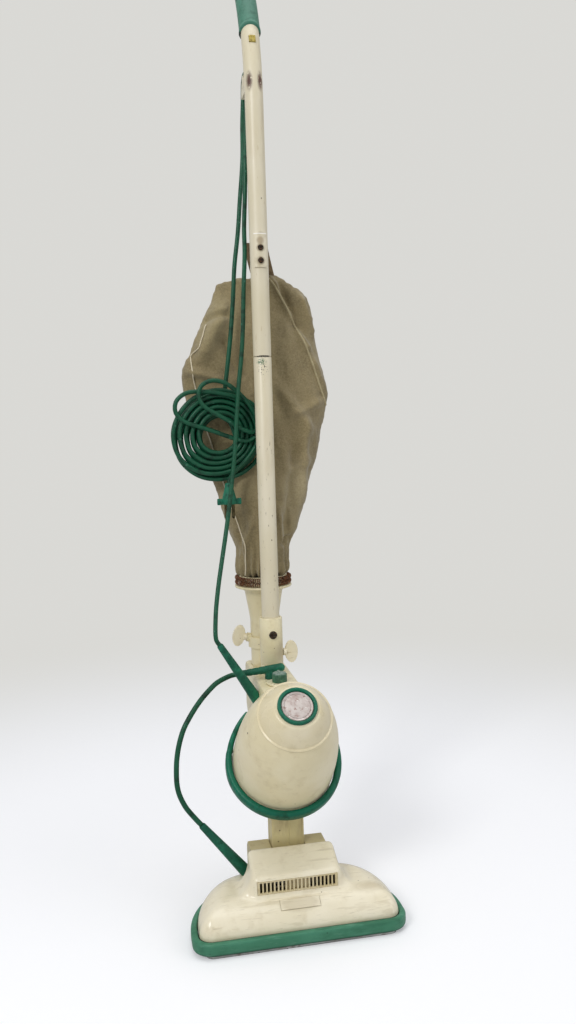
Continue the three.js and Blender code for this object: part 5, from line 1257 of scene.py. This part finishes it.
GATHERS, GATHER_DEEP, GATHER_HIGH, GATHER_UNEVEN = 19, 0.0032, 0.075, 0.0035
SLACK_DEEP, WRINKLE_DEEP, NAP_DEEP = 0.0062, 0.0026, 0.0006
FOLD_DEEP, FOLD_WIDE = 2.3, 0.85
bag_folds = [
    ((0.019, 0.772), (0.051, 0.708), 0.005, 0.0045), ((0.051, 0.708), (0.068, 0.674), 0.005, 0.0035),
    ((0.068, 0.674), (0.095, 0.607), 0.006, 0.003), ((0.030, 0.762), (0.060, 0.690), 0.008, -0.004),
    ((0.056, 0.750), (0.078, 0.690), 0.006, 0.004), ((0.066, 0.745), (0.088, 0.680), 0.007, -0.003),
    ((-0.075, 0.660), (-0.030, 0.742), 0.012, 0.0045), ((-0.045, 0.700), (-0.020, 0.640), 0.008, -0.0035),
    ((-0.012, 0.470), (-0.030, 0.410), 0.006, 0.003), ((0.018, 0.480), (0.024, 0.408), 0.006, 0.003),
    ((0.045, 0.560), (0.030, 0.430), 0.009, -0.004), ((0.060, 0.600), (0.050, 0.470), 0.008, 0.0035),
    ((-0.050, 0.560), (-0.030, 0.450), 0.010, -0.003), ((0.020, 0.640), (0.075, 0.560), 0.010, 0.003),
    ((-0.090, 0.655), (-0.040, 0.640), 0.006, 0.003), ((-0.070, 0.715), (-0.030, 0.722), 0.006, -0.003),
    ((0.020, 0.428), (0.042, 0.440), 0.004, -0.0035), ((-0.035, 0.455), (-0.028, 0.415), 0.004, -0.0035),
    ((0.030, 0.590), (0.088, 0.615), 0.007, 0.0025), ((0.025, 0.520), (0.070, 0.540), 0.008, 0.002),
]


def creased(at, normal):
    """How far the cloth stands out at a place: gathers at its mouth, long soft folds and small wrinkles."""
    x, y, z = at
    front = max(0.0, -normal.y)
    turn = math.atan2(y - bag_back(z), x - bag_across(z))
    mouth = max(0.0, 1 - (z - BAG_FOOT) / GATHER_HIGH)
    stand = GATHER_DEEP * mouth * mouth * math.sin(GATHERS * turn + 2 * math.sin(3 * turn))
    stand += GATHER_UNEVEN * mouth * noise.noise(Vector((x * 42, y * 42, z * 9)))
    stand += SLACK_DEEP * noise.noise(Vector((x * 19 + z * 7, y * 13, z * 8 - x * 8)))
    stand += WRINKLE_DEEP * noise.noise(Vector((x * 55 + z * 18, y * 40, z * 22)))
    stand += NAP_DEEP * noise.noise(at * 170)
    for (x0, z0), (x1, z1), wide, deep in bag_folds:
        along_x, along_z = x1 - x0, z1 - z0
        t = max(0.0, min(1.0, ((x - x0) * along_x + (z - z0) * along_z) / (along_x ** 2 + along_z ** 2)))
        gap = math.hypot(x - x0 - t * along_x, z - z0 - t * along_z)
        ends = min(1.0, 4 * t + 0.15) * min(1.0, 4 * (1 - t) + 0.15)
        stand += front * ends * FOLD_DEEP * deep * math.exp(-(gap / (FOLD_WIDE * wide)) ** 2)
    return stand


held = bag.vertex_groups.new(name="held")
for vertex in bag.data.vertices:
    if vertex.co.z < BAG_FOOT + BAG_HELD_LOW or vertex.co.z > BAG_TOP - BAG_HELD_HIGH:
        held.add([vertex.index], 1.0, "REPLACE")
cloth = bag.modifiers.new("cloth", "CLOTH")
cloth.settings.quality = 4
cloth.settings.mass = CLOTH_MASS
cloth.settings.use_pressure = True
cloth.settings.uniform_pressure_force = CLOTH_PUFF
cloth.settings.vertex_group_mass = "held"
cloth.settings.effector_weights.gravity = 0
cloth.collision_settings.use_collision = False
cloth.point_cache.frame_end = CLOTH_STEPS
for step in range(1, CLOTH_STEPS + 1):
    bpy.context.scene.frame_set(step)
bag = bare("bag", settled(bag))
moved = np.array([v.co for v in bag.data.vertices]) - bag_start
far_moved = np.maximum(np.linalg.norm(moved, axis=1), 1e-9)
moved *= (np.minimum(far_moved, CLOTH_REACH) / far_moved)[:, None]
for vertex, at in zip(bag.data.vertices, bag_start + moved):
    vertex.co = at
bpy.context.scene.frame_set(1)
ease = bag.modifiers.new("ease", "SMOOTH")
ease.iterations = 4
finer = bag.modifiers.new("finer", "SUBSURF")
finer.levels = finer.render_levels = 2
bag_mesh = settled(bag)
smooth_bag = [(v.co.copy(), v.normal.copy()) for v in bag_mesh.vertices]
for vertex, (at, normal) in zip(bag_mesh.vertices, smooth_bag):
    vertex.co = at + normal * creased(at, normal)

twill = (
    Finish("bag_cloth", "81714e", 0.9, Sheen_Weight=0.25, Sheen_Roughness=0.5)
    .clouds(0.09, 0.36, 0.68, "978865", 0.92)
    .clouds(0.035, 0.46, 0.72, "66583e", 0.94, seed=4, weight=0.8)
    # painted light and shade: paler patches at the upper left and low at the right front, a darker one low at
    # the left
    .spot((-0.055, 0.105, 0.715), (0.055, 0.06, 0.055), 0.9, "a3966f", 0.9, weight=0.7)
    .spot((0.045, 0.09, 0.5), (0.03, 0.06, 0.06), 0.9, "b0a384", 0.92, weight=0.75)
    .spot((-0.03, 0.09, 0.44), (0.03, 0.06, 0.06), 0.9, "6f6144", 0.94, weight=0.5)
)
for thread, seed in (("766845", 2), ("a0936b", 6)):
    twill.clouds(0.0024, 0.42, 0.66, thread, 0.92, seed=seed, weight=0.5)
slant = twill.node("Mapping", ("Vector", twill.place), ("Rotation", (0, math.radians(38), 0)))[0]
waves = (("Vector", slant), ("Scale", 260.0), ("Distortion", 0.6), ("Detail", 2.0))
twill.lay(twill.node("TexWave", *waves)["Fac"], "5c5036", None, 0.00018, weight=0.35)
twill.clouds(0.0009, 0.35, 0.65, "b0a37c", rise=0.00012, stretch=(1, 1, 0.5), seed=9, weight=0.3)
twill = twill.done()
dust_bag = made("bag_twill", bag_mesh, twill, "bag_cloth", ["dust_bag"], 180)
bag_skin = BVHTree.FromPolygons(
    [v.co for v in bag_mesh.vertices], [tuple(p.vertices) for p in bag_mesh.polygons],
)

seam_cloth = (
    Finish("seam_cloth", "a39672", 0.9)
    .clouds(0.01, 0.42, 0.7, "8f8160", 0.92)
    .clouds(0.0009, 0.35, 0.65, "b5a986", rise=0.0001)
    .done()
)

# The piping is a cord in a cream cover, sewn into the seam at the left. Two raised stitched seams
# run at the right and low in the middle.


def on_bag(x, z, proud):
    """The point of the bag's front at this place across and up, standing proud by this much."""
    hit, normal = bag_skin.ray_cast(Vector((x, -0.1, z)), Vector((0, 1, 0)))[:2]
    if hit is None:
        hit, normal = bag_skin.find_nearest(Vector((x, 0.1, z)))[:2]
    return hit + normal * proud


def sewn(name, route, radius, proud, material):
    """A round cord or seam that follows the bag's front along places given in millimetres."""
    spots = through([Vector((x, 0, z)) for x, z in route], 3)
    line = [on_bag(p.x / 1000, p.z / 1000, proud) for p in spots]
    for _ in range(3):
        line = [line[0]] + [(a + 2 * b + c) / 4 for a, b, c in zip(line, line[1:], line[2:])] + [line[-1]]
    return made(name, swept(bmesh.new(), line, radius, 10), material, "bag_cloth", [], 80, body="upper_body")


piping_cloth = (
    Finish("piping_cloth", "cfc2a3", 0.85)
    .clouds(0.01, 0.42, 0.7, "b9aa89", 0.9)
    .clouds(0.0008, 0.35, 0.65, "e0d6bd", rise=0.0001)
    .done()
)
sewn("bag_piping", [
    (-76, 722), (-78.5, 708), (-81, 680), (-80.8, 651), (-76.7, 629), (-69.4, 592), (-60.5, 563), (-50, 522),
    (-39.4, 482), (-26.8, 440), (-25.1, 415), (-26.1, 394),
], 0.0008, 0.0009, piping_cloth)
sewn("bag_seam_right", [
    (19, 769), (25, 760), (51, 708), (68, 674), (83, 632), (92, 607),
], 0.0013, 0.0004, seam_cloth)
sewn("bag_seam_low", [(8, 500), (10, 455), (14, 420), (12, 394)], 0.0009, 0.0001, twill)

# ------------------------------------------------------------ bag strap
# A folded tab of the same cloth, sewn into the bag's top, with a stitched edge. An eye cut through
# it hangs on the wire hook behind the tube.

strap_foot, strap_tip = Vector((0.014, 0.1185, 0.7705)), Vector((0, 0.090, 0.807))
STRAP_HALF, STRAP_THICK, STRAP_BELLY, STRAP_EASE = 0.015, 0.0010, 0.0012, 0.001
HEM_HIGH, HEM_AT, HEM_WIDE = 0.0004, 0.86, 0.08
EYE_HALF, EYE_LOW, EYE_TOP = 0.0034, 0.7799, 0.7935
strap_rings = []
for t in run(0, 1, 26):
    middle = strap_foot.lerp(strap_tip, t) + Vector((0, STRAP_BELLY * math.sin(math.pi * t), 0))
    half = STRAP_HALF - (STRAP_EASE if t in (0, 1) else 0)
    loop = []
    for a in circle(40):
        wide, thin = squared(a, 0.6)
        hem = HEM_HIGH * math.exp(-((abs(wide) - HEM_AT) / HEM_WIDE) ** 2)
        loop.append(middle + Vector((half * wide, (STRAP_THICK + hem) * thin, 0)))
    strap_rings.append(loop)
strap = bare("strap", bridged(bmesh.new(), strap_rings))
eye = bare("eye", block(bmesh.new(), (-EYE_HALF, 0.06, EYE_LOW), (EYE_HALF, 0.14, EYE_TOP)))
strap = combined(strap, eye, "DIFFERENCE")
strap_mesh = strap.data
bpy.data.objects.remove(strap)
strap_cloth = (
    Finish("strap_cloth", "6f5a3c", 0.9, Sheen_Weight=0.2)
    .clouds(0.008, 0.42, 0.7, "5a472f", 0.93)
    .clouds(0.0009, 0.35, 0.65, "8b7757", rise=0.00015)
    .done()
)
made("bag_tab", strap_mesh, strap_cloth, "bag_cloth", ["bag_strap"], 50)
